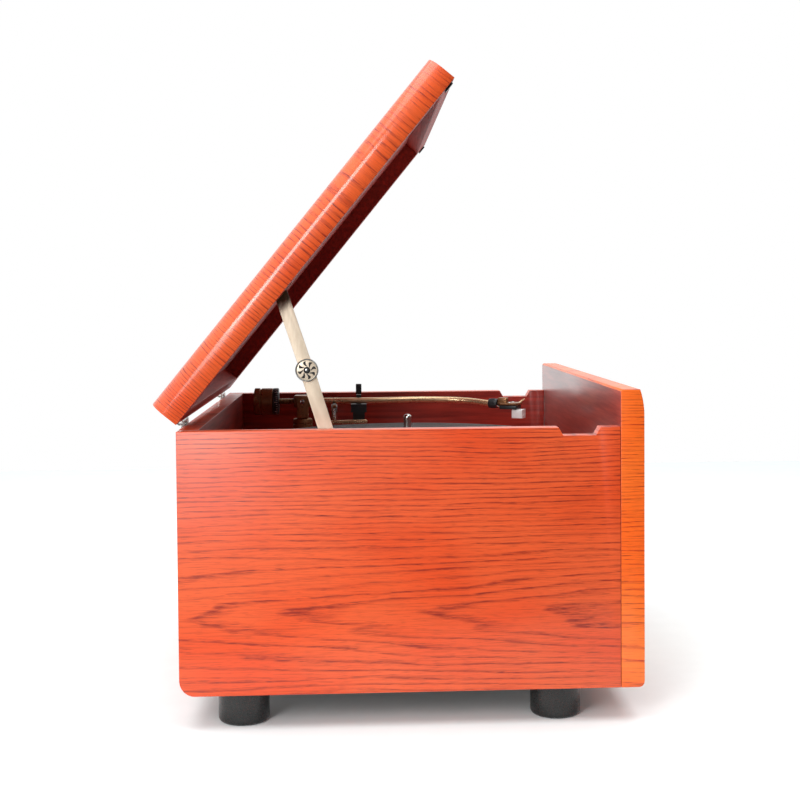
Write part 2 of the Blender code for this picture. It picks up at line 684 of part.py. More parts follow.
def make_head(tilt):
    """The collar, the headshell, the cartridge and the stylus guard, turned towards the platter."""
    place = (ARM_X + HEAD_AT[0], ARM_Y - HEAD_AT[1], TUBE_Z + HEAD_AT[2])
    head = axis_empty("head_axis", place, (0, 0, -HEAD_TURN), tilt)
    bpy.context.view_layer.update()
    collar = tube_ring("headshell_collar", 0.0048, 0.0022, 0.0005, 0.0095, (0, 0, 0), BLACK, 20, TO_FRONT)
    shell = box("headshell", (-0.009, -0.0330, -0.0010), (0.009, -0.0100, 0.0062), BRONZE, 0.001)
    cartridge = box("cartridge", (-0.0075, -0.0320, -0.0052), (0.0075, -0.0130, -0.0013), BLACK)
    guard = box("stylus_guard", (-0.006, -0.0372, -0.0142), (0.006, -0.0262, -0.0055), WHITE, 0.0008)
    pieces = (collar, shell, cartridge, guard)
    for piece in pieces:
        piece.parent = head


def make_arm_rest():
    """The fixed rest with an open saddle under the tube, and the latch that stands beside it."""
    low = DECK_TOP + GAP
    y = y_at(REST_IN)
    saddle = TUBE_Z - TUBE_RADIUS - 0.0006
    stem_low, stem_high = (ARM_X - 0.0045, y - 0.006, low), (ARM_X + 0.0045, y + 0.006, saddle - 0.003)
    stem = box("arm_rest", stem_low, stem_high, BLACK)
    cup = box("rest_cup", (ARM_X - 0.0080, y - 0.008, saddle - 0.008), (ARM_X + 0.0105, y + 0.008, saddle))
    groove = rod("rest_groove", TUBE_RADIUS + 0.0010, -0.03, 0.03, (ARM_X, y, TUBE_Z), None, 20, ALONG_Y)
    low, high = (ARM_X + 0.0052, y - 0.0025, saddle - 0.004), (ARM_X + 0.0100, y + 0.0025, TUBE_Z + 0.0055)
    finger = box("rest_finger", low, high)
    unite(stem, cup, finger)
    cut(stem, groove)
    pivot = (ARM_X + 0.0076, y, TUBE_Z + 0.0080)
    hook = slot_outline((0, 0), (0, 0.0065), 0.0021, 6)
    latch = plate("arm_latch", [hook], 0.0060, pivot, BLACK, IN_XZ)
    attach(axis_empty("latch_axis", pivot), latch)


CUE_X = ARM_X - 0.0165
CUE_IN = 0.103
CUE_Z = 0.2005


def make_cueing():
    """The cue lever beside the arm, and the lift bar under the tube that it raises."""
    pivot = (CUE_X, y_at(CUE_IN), CUE_Z)
    outline = slot_outline((0, 0), (-0.0405, 0.0008), 0.0021, 6)
    lever = plate("cue_lever", [outline], 0.004, pivot, BRASS, IN_YZ)
    attach(axis_empty("cue_axis", pivot), lever)
    y = y_at(LIFT_IN)
    top = TUBE_Z - TUBE_RADIUS - 0.0008
    bar = box("cue_lift", (ARM_X - 0.011, y - 0.002, top - 0.003), (ARM_X + 0.014, y + 0.002, top), BRONZE)
    stem_place = (ARM_X + 0.008, y, 0)
    unite(bar, rod("lift_stem", 0.003, DECK_TOP + 2 * GAP, top - 0.001, stem_place, None, 12))
    attach(axis_empty("lift_slide", stem_place), bar)


def make_anti_skate():
    """A small knob on its post, beside the arm."""
    place = (ARM_X + 0.022, y_at(0.100), 0)
    low = DECK_TOP + GAP
    profile = [(0, 0.2130), (0.004, 0.2130), (0.005, 0.2120), (0.005, 0.2050), (0.0028, 0.2045)]
    profile += [(0.0028, low), (0, low)]
    knob = turned("anti_skate_knob", profile, place, BRONZE, 20)
    attach(axis_empty("anti_skate_axis", place), knob)


# ---- the lid, its hinges and its stay -------------------------------------------------------------
HINGE_X = 0.155
LEAF_WIDTH = 0.035
LEAF_HEIGHT = 0.019
LEAF = 0.0016                # leaf thickness
KNUCKLE = 0.0027
PIN_RADIUS = 0.0011


def make_lid(lid_axis):
    """The lid as a tray: rounded side edges, a recess below, and two pads under the front corners."""
    radius = LID_SIDE_RADIUS
    top = RIM_Z + LID_THICKNESS
    outline = [(-HALF, RIM_Z), (HALF, RIM_Z)]
    outline += arc((HALF - radius, top - radius), radius, 0, 90, 8)
    outline += arc((-HALF + radius, top - radius), radius, 90, 180, 8)
    middle = (y_at(LID_REAR_INSET) + y_at(LID_REAR_INSET + LID_LENGTH)) / 2
    lid = to_mesh(plate("lid", [outline], LID_LENGTH, (0, middle, 0), VENEER, IN_XZ))
    add_bevel(lid, LID_END_RADIUS, 3).angle_limit = radians(60)
    rear, front = middle + LID_LENGTH / 2 - LID_RIM, middle - LID_LENGTH / 2 + LID_RIM
    low = (-HALF + LID_RIM, front, RIM_Z - 0.01)
    high = (HALF - LID_RIM, rear, RIM_Z + LID_RECESS)
    cut(lid, box("recess_cut", low, high))
    attach(lid_axis, lid)
    pad_y = y_at(LID_REAR_INSET + LID_LENGTH - 0.0075)
    for side, name in ((-1, "lid_bumper_left"), (1, "lid_bumper_right")):
        x = side * (HALF - 0.0075)
        low = (x - 0.004, pad_y - 0.004, RIM_Z - 0.0016)
        high = (x + 0.004, pad_y + 0.004, RIM_Z - GAP)
        attach(lid_axis, box(name, low, high, RUBBER))


def hinge_leaf(name, x, face, direction, gaps):
    """A leaf flat against a face with its knuckle round the hinge axis, cut away in the gaps along X."""
    low, high = sorted((HINGE_Z + direction * 0.001, HINGE_Z + direction * LEAF_HEIGHT))
    half = LEAF_WIDTH / 2
    leaf = box(name, (x - half, face, low), (x + half, face + LEAF, high), STEEL)
    knuckle = rod(f"{name}_knuckle", KNUCKLE, -half, half, (x, HINGE_Y, HINGE_Z), None, 16, ALONG_X)
    unite(leaf, knuckle)
    for number, (start, end) in enumerate(gaps):
        low = (x + start, REAR - 0.004, HINGE_Z - 0.0036)
        high = (x + end, REAR + 0.010, HINGE_Z + 0.0036)
        cut(leaf, box(f"{name}_gap_{number}", low, high))
    return leaf


def make_hinges(lid_axis):
    """Two butt hinges on the rear, each a case leaf that holds the pin and a lid leaf that turns on it."""
    half, sixth, play = LEAF_WIDTH / 2, LEAF_WIDTH / 6, GAP / 2
    case_gaps = [(-sixth - play, sixth + play)]
    lid_gaps = [(-half - 0.001, -sixth + play), (sixth - play, half + 0.001)]
    for side, name in ((-1, "left"), (1, "right")):
        x = side * HINGE_X
        place = (x, HINGE_Y, HINGE_Z)
        case_leaf = hinge_leaf(f"hinge_case_leaf_{name}", x, REAR + GAP, -1, case_gaps)
        unite(case_leaf, rod(f"hinge_pin_{name}", PIN_RADIUS, -half, half, place, None, 12, ALONG_X))
        lid_leaf = hinge_leaf(f"hinge_lid_leaf_{name}", x, REAR - LID_REAR_INSET + GAP, 1, lid_gaps)
        cut(lid_leaf, rod(f"hinge_bore_{name}", PIN_RADIUS + GAP, -0.03, 0.03, place, None, 12, ALONG_X))
        attach(lid_axis, lid_leaf)


# The stay folds at its elbow. Points are (Y, Z) pairs.
STAY_CASE = (y_at(0.1217), 0.1915)
STAY_ELBOW = (y_at(0.0973), 0.2706)
STAY_LID_CLOSED = (y_at(0.1288), RIM_Z + 0.0066)
LINK_HALF = 0.0056
LINK = 0.0014
LINK_HOLE = 0.0024
STAY_PIN = 0.0020
STAY_LEAF = 0.0016           # thickness of the stay's brackets
DISC_HALF = 0.0006
LOWER_X = -0.2018            # middle of the lower link
UPPER_X = -0.1999


def opened(point):
    """Where a point of the closed lid is when the lid is open."""
    y, z = point[0] - HINGE_Y, point[1] - HINGE_Z
    turned_y = y * cos(LID_OPEN) + z * sin(LID_OPEN)
    turned_z = z * cos(LID_OPEN) - y * sin(LID_OPEN)
    return (HINGE_Y + turned_y, HINGE_Z + turned_z)


def make_stay(lid_axis):
    """The lid stay on the left: a case bracket, a link with its joint disc, and a link on the lid."""
    top = opened(STAY_LID_CLOSED)
    wall = -INNER + GAP
    y, z = STAY_CASE
    base = rounded((y - 0.007, z - 0.0085), (y + 0.007, z + 0.008), 0.003)
    place = (wall + STAY_LEAF / 2, 0, 0)
    bracket = to_mesh(plate("stay_case_bracket", [base], STAY_LEAF, place, ZINC, IN_YZ))
    unite(bracket, rod("case_pin", STAY_PIN, 0, 0.0062, (wall + 0.0006, *STAY_CASE), None, 12, ALONG_X))
    loops = [slot_outline(STAY_CASE, STAY_ELBOW, LINK_HALF), circle(STAY_CASE, LINK_HOLE, 12)]
    lower = to_mesh(plate("stay_lower_link", loops, LINK, (LOWER_X, 0, 0), ZINC, IN_YZ))
    disc_place = (LOWER_X - LINK / 2 - GAP - DISC_HALF, *STAY_ELBOW)
    unite(lower, rod("joint_disc", 0.0088, -DISC_HALF, 2 * DISC_HALF, disc_place, None, 24, ALONG_X))
    attach(axis_empty("stay_lower_axis", (LOWER_X, *STAY_CASE)), lower)
    link = [slot_outline(STAY_ELBOW, top, 0.0052), circle(top, LINK_HOLE, 12)]
    upper = plate("stay_upper_link", link, LINK, (UPPER_X, 0, 0), ZINC, IN_YZ)
    attach(axis_empty("stay_upper_axis", (UPPER_X, *top), parent=lid_axis), upper)


def make_lid_bracket(lid_axis):
    """The stay's bracket on the inner side of the lid's rim, modelled on the closed lid."""
    y, z = STAY_LID_CLOSED
    wall = -HALF + LID_RIM + GAP
    outline = rounded((y - 0.011, z - 0.0070), (y + 0.011, RIM_Z + LID_RECESS - 2 * GAP), 0.003)
    place = (wall + STAY_LEAF / 2, 0, 0)
    bracket = to_mesh(plate("stay_lid_bracket", [outline], STAY_LEAF, place, BRONZE, IN_YZ))
    unite(bracket, rod("lid_pin", STAY_PIN, 0, 0.0082, (wall + 0.0006, y, z), None, 12, ALONG_X))
    attach(lid_axis, bracket)


# ---- assembly ------------------------------------------------------------------------------------
def make_case():
    make_side_panels()
    make_rear_panel()
    make_bottom_panel()
    make_feet()
    make_front_panel()


def make_front_fittings():
    make_grilles()
    make_speakers()
    make_control_plate()
    make_dial()
    make_knobs()


def make_tonearm():
    swing = axis_empty("arm_swing_axis", (ARM_X, ARM_Y, TUBE_Z))
    tilt = axis_empty("arm_tilt_axis", (ARM_X, ARM_Y, TUBE_Z), parent=swing)
    make_arm_base()
    make_arm_yoke(swing)
    make_arm_tube(tilt)
    make_counterweight(tilt)
    make_head(tilt)
    make_arm_rest()
    make_cueing()
    make_anti_skate()


def make_lid_assembly():
    lid_axis = axis_empty("lid_axis", (0, HINGE_Y, HINGE_Z))
    make_lid(lid_axis)
    make_hinges(lid_axis)
    make_lid_bracket(lid_axis)
    lid_axis.rotation_euler.x = -LID_OPEN
    make_stay(lid_axis)


make_case()
make_front_fittings()
make_electronics()
make_phono_sockets()
make_mains_inlet()
make_deck()
make_platter()
make_drive()
make_speed_selector()
make_tonearm()
make_lid_assembly()
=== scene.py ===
"""The looks of a wooden tabletop record player with its lid open.

Metres, +Z up, the front faces -Y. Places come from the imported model: its boxes and its joints.
"""

import json
from math import atan2, cos, pi, radians, sin

import bmesh
import bpy
from mathutils import Matrix, Vector


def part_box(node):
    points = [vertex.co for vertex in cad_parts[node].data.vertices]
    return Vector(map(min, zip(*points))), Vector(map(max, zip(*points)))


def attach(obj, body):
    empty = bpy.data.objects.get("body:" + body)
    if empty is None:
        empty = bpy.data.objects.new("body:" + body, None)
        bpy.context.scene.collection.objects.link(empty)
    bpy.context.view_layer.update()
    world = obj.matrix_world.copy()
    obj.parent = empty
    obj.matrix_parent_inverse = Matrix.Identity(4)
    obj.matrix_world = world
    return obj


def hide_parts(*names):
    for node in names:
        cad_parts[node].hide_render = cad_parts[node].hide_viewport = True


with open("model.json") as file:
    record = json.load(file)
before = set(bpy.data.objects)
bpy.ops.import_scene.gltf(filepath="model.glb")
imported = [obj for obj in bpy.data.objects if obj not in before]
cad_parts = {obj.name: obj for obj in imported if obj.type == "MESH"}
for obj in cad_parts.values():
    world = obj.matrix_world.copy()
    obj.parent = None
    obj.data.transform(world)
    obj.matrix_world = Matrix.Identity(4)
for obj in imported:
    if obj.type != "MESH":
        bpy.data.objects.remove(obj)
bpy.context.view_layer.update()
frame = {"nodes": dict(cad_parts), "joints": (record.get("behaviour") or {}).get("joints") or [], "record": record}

# ---- places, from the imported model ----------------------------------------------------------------
PIVOT = {joint["name"]: Vector(joint["pos_m"]) for joint in frame["joints"] if "pos_m" in joint}
LID_OPEN = radians(next(j for j in frame["joints"] if j["name"] == "lid_hinge")["range_deg"][1])
SLOT_OF = {part["node"]: part["material_slot"] for part in frame["record"]["subparts"]}

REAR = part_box("rear_panel")[1].y
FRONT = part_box("front_panel")[0].y
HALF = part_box("side_panel_right")[1].x
PLATE_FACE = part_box("control_plate")[0].y
HINGE = PIVOT["lid_hinge"]
ARM = PIVOT["tonearm_swing"]
HEAD = PIVOT["collar_turn"]
SPINDLE = PIVOT["platter_spin"]
STAY_LOW = PIVOT["stay_lower_pivot"]
STAY_HIGH = PIVOT["stay_upper_pivot"]
ELBOW = Vector((STAY_LOW.x, REAR - 0.0973, 0.2706))
HEAD_TURN = radians(25.0)
LID_UP = Vector((0.0, sin(LID_OPEN), cos(LID_OPEN)))         # out of the lid's top face
LID_ALONG = Vector((0.0, -cos(LID_OPEN), sin(LID_OPEN)))     # from the hinge to the lid's front edge


# ---- node helpers ---------------------------------------------------------------------------------
class Look:
    """A material's node tree, with short calls for the nodes that the looks are made of."""

    def __init__(self, name, roughness=0.5, metallic=0.0, coat=0.0, coat_roughness=0.1, sheen=0.0,
                 specular=0.5):
        self.material = bpy.data.materials.new(name)
        self.material.use_nodes = True
        self.tree = self.material.node_tree
        self.shader = self.tree.nodes["Principled BSDF"]
        self.shader.inputs["Roughness"].default_value = roughness
        self.shader.inputs["Metallic"].default_value = metallic
        self.shader.inputs["Coat Weight"].default_value = coat
        self.shader.inputs["Coat Roughness"].default_value = coat_roughness
        self.shader.inputs["Sheen Weight"].default_value = sheen
        self.shader.inputs["Specular IOR Level"].default_value = specular
        coordinates = self.tree.nodes.new("ShaderNodeTexCoord")
        self.place = coordinates.outputs["Object"]

    def put(self, socket, value):
        if isinstance(value, bpy.types.NodeSocket):
            self.tree.links.new(value, socket)
        else:
            socket.default_value = value

    def math(self, operation, first, second=0.0, clamp=False):
        node = self.tree.nodes.new("ShaderNodeMath")
        node.operation = operation
        node.use_clamp = clamp
        self.put(node.inputs[0], first)
        self.put(node.inputs[1], second)
        return node.outputs[0]

    def dot(self, direction, place=None):
        node = self.tree.nodes.new("ShaderNodeVectorMath")
        node.operation = "DOT_PRODUCT"
        self.put(node.inputs[0], place or self.place)
        node.inputs[1].default_value = direction
        return node.outputs["Value"]

    def combine(self, x, y, z=0.0):
        node = self.tree.nodes.new("ShaderNodeCombineXYZ")
        for socket, value in zip(node.inputs, (x, y, z)):
            self.put(socket, value)
        return node.outputs[0]

    def scaled(self, scale, place=None, shift=(0.0, 0.0, 0.0)):
        node = self.tree.nodes.new("ShaderNodeMapping")
        self.put(node.inputs["Vector"], place or self.place)
        node.inputs["Scale"].default_value = scale
        node.inputs["Location"].default_value = shift
        return node.outputs[0]

    def noise(self, scale, place=None, detail=2.0, roughness=0.5):
        node = self.tree.nodes.new("ShaderNodeTexNoise")
        self.put(node.inputs["Vector"], self.scaled(scale, place))
        node.inputs["Scale"].default_value = 1.0
        node.inputs["Detail"].default_value = detail
        node.inputs["Roughness"].default_value = roughness
        return node.outputs["Fac"]

    def ramp(self, value, stops, smooth=False):
        """Maps a value through (position, grey or colour) stops."""
        node = self.tree.nodes.new("ShaderNodeValToRGB")
        node.color_ramp.interpolation = "EASE" if smooth else "LINEAR"
        elements = node.color_ramp.elements
        while len(elements) < len(stops):
            elements.new(0.5)
        for element, (position, colour) in zip(elements, stops):
            element.position = position
            element.color = (colour, colour, colour, 1) if isinstance(colour, float) else (*colour, 1)
        self.put(node.inputs["Fac"], value)
        return node.outputs["Color"]

    def mix(self, share, first, second, blend="MIX"):
        node = self.tree.nodes.new("ShaderNodeMix")
        node.data_type = "RGBA"
        node.blend_type = blend
        self.put(node.inputs["Factor"], share)
        for socket, value in ((node.inputs["A"], first), (node.inputs["B"], second)):
            socket = next(s for s in node.inputs if s.name == socket.name and s.type == "RGBA")
            self.put(socket, (*value, 1) if isinstance(value, tuple) else value)
        return next(s for s in node.outputs if s.type == "RGBA")

    def colour(self, value):
        self.put(self.shader.inputs["Base Color"], value)

    def rough(self, value):
        self.put(self.shader.inputs["Roughness"], value)

    def bump(self, height, distance, strength=1.0):
        node = self.tree.nodes.new("ShaderNodeBump")
        node.inputs["Strength"].default_value = strength
        node.inputs["Distance"].default_value = distance
        self.put(node.inputs["Height"], height)
        self.put(self.shader.inputs["Normal"], node.outputs[0])


def srgb(red, green, blue):
    """Linear colour of an sRGB colour given as 0 to 255."""
    def linear(value):
        value /= 255
        return value / 12.92 if value <= 0.04045 else ((value + 0.055) / 1.055) ** 2.4
    return (linear(red), linear(green), linear(blue))


# ---- materials ------------------------------------------------------------------------------------
def veneer(name, along, across, heart, flow, tones, coat=(0.5, 0.24), round_off=None):
    """Lacquered oak: growth lines that open out from a heart line, broken by pores and fine streaks.

    along and across are the directions of and across the grain. heart is where the lines' middle lies
    and how flat they are there, flow how fast they close along the grain near the heart, and tones the
    pale, warm, line and pore colours. round_off is (direction, start, strength) of a face that curves
    away along that direction.
    """
    coat_weight, coat_roughness = coat
    look = Look(name, roughness=0.42, coat=coat_weight, coat_roughness=coat_roughness, specular=0.3)
    run, over = look.dot(along), look.dot(across)
    place = look.combine(run, over)
    middle, flatness = heart
    waves = look.math("SUBTRACT", look.noise((4.0, 14.0, 1.0), place, 3.0), 0.5)
    ripples = look.math("SUBTRACT", look.noise((26.0, 90.0, 1.0), place, 2.0), 0.5)
    bent = look.math("ADD", look.math("SUBTRACT", over, middle), look.math("MULTIPLY", waves, 0.016))
    squared = look.math("ADD", look.math("MULTIPLY", bent, bent), flatness * flatness)
    away = look.math("SQRT", squared)
    near = look.ramp(away, ((0.0, 1.0), (0.02, 0.85), (0.055, 0.12), (0.09, 0.0)), smooth=True)
    drift = look.math("MULTIPLY", look.math("MULTIPLY", run, flow), near)
    reach = look.math("SUBTRACT", away, drift)
    density = look.math("ADD", look.math("MULTIPLY", reach, 720.0), 120.0)
    uneven = look.math("MULTIPLY", look.noise((3.0, 60.0, 1.0), place, 2.0), 2.2)
    count = look.math("ADD", look.math("MULTIPLY", reach, density), uneven)
    count = look.math("ADD", count, look.math("MULTIPLY", ripples, 0.35))
    stops = ((0.0, 0.08), (0.50, 0.05), (0.70, 0.50), (0.80, 1.0), (0.88, 0.95), (0.96, 0.10))
    line = look.ramp(look.math("FRACT", count), stops)
    broken = look.ramp(look.noise((42.0, 560.0, 1.0), place, 3.0, 0.65), ((0.42, 0.0), (0.58, 1.0)))
    pores = look.ramp(look.noise((85.0, 1300.0, 1.0), place, 2.0, 0.5), ((0.54, 0.0), (0.66, 1.0)))
    streaks = look.noise((20.0, 700.0, 1.0), place, 5.0, 0.62)
    cloud = look.ramp(look.noise((7.0, 13.0, 1.0), place, 2.0), ((0.35, 0.0), (0.68, 1.0)), smooth=True)
    pale, warm, dark, deep = tones
    colour = look.mix(cloud, pale, warm)
    faint = look.ramp(look.noise((5.0, 75.0, 1.0), place, 3.0), ((0.34, 0.35), (0.56, 1.0)))
    line = look.math("MULTIPLY", line, faint)
    strength = look.math("MULTIPLY", line, look.math("ADD", look.math("MULTIPLY", broken, 0.70), 0.26))
    colour = look.mix(strength, colour, dark)
    pitted = look.math("MULTIPLY", pores, look.math("ADD", look.math("MULTIPLY", line, 0.60), 0.18))
    colour = look.mix(pitted, colour, deep)
    tone = look.ramp(streaks, ((0.28, 0.72), (0.52, 1.0), (0.75, 1.0)))
    look.colour(look.mix(0.85, colour, tone, "MULTIPLY"))
    look.rough(look.ramp(streaks, ((0.3, 0.50), (0.7, 0.38))))
    relief = look.math("MULTIPLY", look.math("SUBTRACT", streaks, look.math("MULTIPLY", pitted, 0.8)),
                       0.00007)
    if round_off:
        direction, start, strength = round_off
        depth = look.math("SUBTRACT", look.dot(direction), start)
        fall = look.math("MULTIPLY", look.math("MULTIPLY", depth, depth), strength)
        relief = look.math("SUBTRACT", relief, fall)
    look.bump(relief, 1.0)
    return look.material


def stained_wood(name, along, tones, roughness=0.4, gloss=0.35, blur=0.12):
    """Dark stained wood of the inner faces: faint streaks along the grain."""
    look = Look(name, roughness=roughness, coat=gloss, coat_roughness=blur, specular=0.3)
    scale = tuple(14.0 if part else 260.0 for part in along)
    streaks = look.noise(scale, None, 5.0, 0.6)
    cloud = look.noise((9.0, 9.0, 9.0), None, 2.0)
    colour = look.mix(look.ramp(streaks, ((0.32, 0.0), (0.68, 1.0))), *tones)
    look.colour(look.mix(0.5, colour, look.ramp(cloud, ((0.3, 0.7), (0.7, 1.0))), "MULTIPLY"))
    look.bump(streaks, 0.0002, 0.3)
    return look.material


def raw_board(name):
    """Fibreboard: a speckle of pale and brown fibres."""
    look = Look(name, roughness=0.85)
    fibres = look.noise((420.0, 420.0, 420.0), None, 6.0, 0.75)
    patches = look.noise((30.0, 30.0, 30.0), None, 2.0)
    colour = look.ramp(fibres,
                       ((0.3, srgb(120, 84, 52)), (0.5, srgb(172, 132, 90)), (0.7, srgb(205, 170, 124))))
    look.colour(look.mix(0.4, colour, look.ramp(patches, ((0.3, 0.75), (0.7, 1.0))), "MULTIPLY"))
    look.bump(fibres, 0.0004, 0.5)
    return look.material


def metal(name, dark, light, roughness, brush=(90.0, 90.0, 90.0), metallic=1.0):
    """Plated metal: brushed streaks, with slightly duller patches where it has been handled."""
    look = Look(name, roughness=roughness, metallic=metallic)
    brushing = look.noise(brush, None, 4.0, 0.6)
    handling = look.noise((45.0, 45.0, 45.0), None, 3.0, 0.55)
    colour = look.mix(look.ramp(handling, ((0.35, 0.0), (0.65, 1.0))), dark, light)
    look.colour(look.mix(0.22, colour, look.ramp(brushing, ((0.3, 0.72), (0.7, 1.0))), "MULTIPLY"))
    low, high = max(roughness - 0.08, 0.08), roughness + 0.12
    look.rough(look.ramp(brushing, ((0.3, high), (0.7, low))))
    look.bump(brushing, 0.00004, 0.25)
    return look.material


def worn_zinc(name, dark, light, end):
    """The stay's upper link: plated steel with painted shade, dark brown round its upper end where the link passes
    under the lid.
    """
    look = Look(name, roughness=0.42, metallic=0.35)
    away = look.tree.nodes.new("ShaderNodeVectorMath")
    away.operation = "DISTANCE"
    look.put(away.inputs[0], look.place)
    away.inputs[1].default_value = end
    streaks = look.noise((60.0, 300.0, 60.0), None, 4.0, 0.6)
    edge = look.math("ADD", away.outputs["Value"], look.math("MULTIPLY", streaks, 0.006))
    unshaded_share = look.ramp(edge, ((0.016, 0.0), (0.022, 1.0)))
    plating = look.mix(look.ramp(streaks, ((0.3, 0.0), (0.7, 1.0))), dark, light)
    # painted shade: dark brown within about 16 to 22 mm of the upper pivot, plating colour beyond
    look.colour(look.mix(unshaded_share, srgb(92, 64, 42), plating))
    look.rough(look.ramp(streaks, ((0.3, 0.5), (0.7, 0.38))))
    return look.material


def plastic(name, dark, light, roughness, grain=0.00012):
    """Moulded plastic or rubber: a fine spark-eroded grain and a little dust."""
    look = Look(name, roughness=roughness)
    texture = look.noise((900.0, 900.0, 900.0), None, 3.0, 0.6)
    dust = look.noise((60.0, 60.0, 60.0), None, 4.0, 0.6)
    look.colour(look.mix(look.ramp(dust, ((0.35, 0.0), (0.72, 1.0))), dark, light))
    look.rough(look.ramp(texture, ((0.3, roughness + 0.1), (0.7, max(roughness - 0.08, 0.05)))))
    look.bump(texture, grain, 0.5)
    return look.material


def woven_cloth(name, warp, weft):
    """Grille cloth: threads about a millimetre apart that pass over and under each other."""
    look = Look(name, roughness=0.9, sheen=0.3)
    pitch = 2 * pi / 0.0011
    across = look.math("SINE", look.math("MULTIPLY", look.dot((1, 0, 0)), pitch))
    up = look.math("SINE", look.math("MULTIPLY", look.dot((0, 0, 1)), pitch))
    over = look.math("MULTIPLY", across, up)
    fibres = look.noise((700.0, 700.0, 700.0), None, 3.0)
    weave = look.ramp(look.math("ADD", look.math("MULTIPLY", over, 0.5), 0.5), ((0.2, 0.0), (0.8, 1.0)))
    colour = look.mix(weave, warp, weft)
    look.colour(look.mix(0.7, colour, look.ramp(fibres, ((0.3, 0.6), (0.7, 1.0))), "MULTIPLY"))
    look.bump(look.math("ADD", over, look.math("MULTIPLY", fibres, 0.5)), 0.0003, 0.6)
    return look.material


def mat_rubber(name):
    """The platter mat: matt rubber with a film of dust in rings round the spindle."""
    look = Look(name, roughness=0.6, sheen=0.15)
    x = look.math("SUBTRACT", look.dot((1, 0, 0)), SPINDLE.x)
    y = look.math("SUBTRACT", look.dot((0, 1, 0)), SPINDLE.y)
    radius = look.math("SQRT", look.math("ADD", look.math("MULTIPLY", x, x), look.math("MULTIPLY", y, y)))
    rings = look.noise((1400.0, 1.0, 1.0), look.combine(radius, 0.0), 3.0)
    dust = look.noise((50.0, 50.0, 50.0), None, 4.0)
    both = look.math("MULTIPLY", rings, dust)
    look.colour(look.ramp(both, ((0.12, srgb(30, 24, 24)), (0.45, srgb(66, 52, 50)))))
    look.bump(rings, 0.0001, 0.4)
    return look.material


def clear_glass(name):
    look = Look(name, roughness=0.02)
    look.shader.inputs["Transmission Weight"].default_value = 1.0
    look.shader.inputs["IOR"].default_value = 1.45
    smudge = look.noise((80.0, 80.0, 80.0), None, 3.0)
    look.rough(look.ramp(smudge, ((0.4, 0.01), (0.8, 0.08))))
    look.colour(look.ramp(smudge, ((0.3, srgb(246, 250, 248)), (0.7, srgb(252, 253, 252)))))
    return look.material


def dial_paper(name):
    """Cream dial paper, a little browner towards its ends, with a painted glow that makes up for the light the
    dial glass holds back.
    """
    look = Look(name, roughness=0.7)
    ends = look.math("ABSOLUTE", look.dot((1, 0, 0)))
    fibres = look.noise((300.0, 300.0, 300.0), None, 4.0)
    colour = look.ramp(look.math("DIVIDE", ends, 0.055),
                       ((0.2, srgb(240, 226, 186)), (1.0, srgb(205, 178, 126))))
    # painted light: the paper glows with its own colour, with no lamp behind it
    look.put(look.shader.inputs["Emission Color"], colour)
    look.shader.inputs["Emission Strength"].default_value = 0.45
    look.colour(look.mix(0.4, colour, look.ramp(fibres, ((0.3, 0.85), (0.7, 1.0))), "MULTIPLY"))
    return look.material


def circuit_board(name):
    """Green lacquer over copper tracks."""
    look = Look(name, roughness=0.35, coat=0.4)
    tracks = look.tree.nodes.new("ShaderNodeTexBrick")
    look.put(tracks.inputs["Vector"], look.place)
    tracks.inputs["Scale"].default_value = 90.0
    tracks.inputs["Mortar Size"].default_value = 0.05
    tracks.inputs["Color1"].default_value = (*srgb(18, 88, 44), 1)
    tracks.inputs["Color2"].default_value = (*srgb(24, 104, 52), 1)
    tracks.inputs["Mortar"].default_value = (*srgb(70, 140, 70), 1)
    look.colour(tracks.outputs["Color"])
    return look.material


OAK = (srgb(230, 92, 44), srgb(224, 75, 25), srgb(142, 34, 16), srgb(92, 20, 11))
OAK_END = (srgb(255, 120, 36), srgb(255, 104, 22), srgb(186, 50, 14), srgb(120, 26, 10))
OAK_LID = (srgb(236, 96, 38), srgb(228, 78, 24), srgb(146, 34, 16), srgb(94, 20, 11))
MAROON = (srgb(122, 24, 14), srgb(176, 50, 34))
LID_EDGE = LID_UP.dot(HINGE)
SIDE_OAK = veneer("oak_sides", (0, -1, 0), (0, 0, 1), (0.084, 0.015), 0.085, OAK)
REAR_OAK = veneer("oak_rear", (1, 0, 0), (0, 0, 1), (0.120, 0.012), 0.10, OAK)
FRONT_OAK = veneer("oak_front", (1, 1, 0), (0, 0, 1), (0.030, 0.010), 0.05, OAK_END)
LID_OAK = veneer(
    "oak_lid", tuple(Vector((1, 0, 0)) + LID_UP), tuple(LID_ALONG), (0.30, 0.020), 0.04, OAK_LID,
    coat=(1.0, 0.15), round_off=(tuple(LID_UP), LID_EDGE + 0.0078, 14.0),
)
STAIN_ALONG_Y = stained_wood("stain_sides", (0, 1, 0), MAROON)
STAIN_ALONG_X = stained_wood("stain_inside", (1, 0, 0), MAROON)
LID_INSIDE = stained_wood("stain_lid", (1, 0, 0), (srgb(150, 30, 18), srgb(196, 56, 38)), 0.6, 0.1)
FRONT_INSIDE = stained_wood(
    "stain_front", (1, 0, 0), (srgb(150, 38, 26), srgb(200, 80, 60)), 0.34, 1.0, 0.26,
)
DARK_BOARD = plastic("painted_board", srgb(40, 38, 37), srgb(58, 55, 53), 0.8)

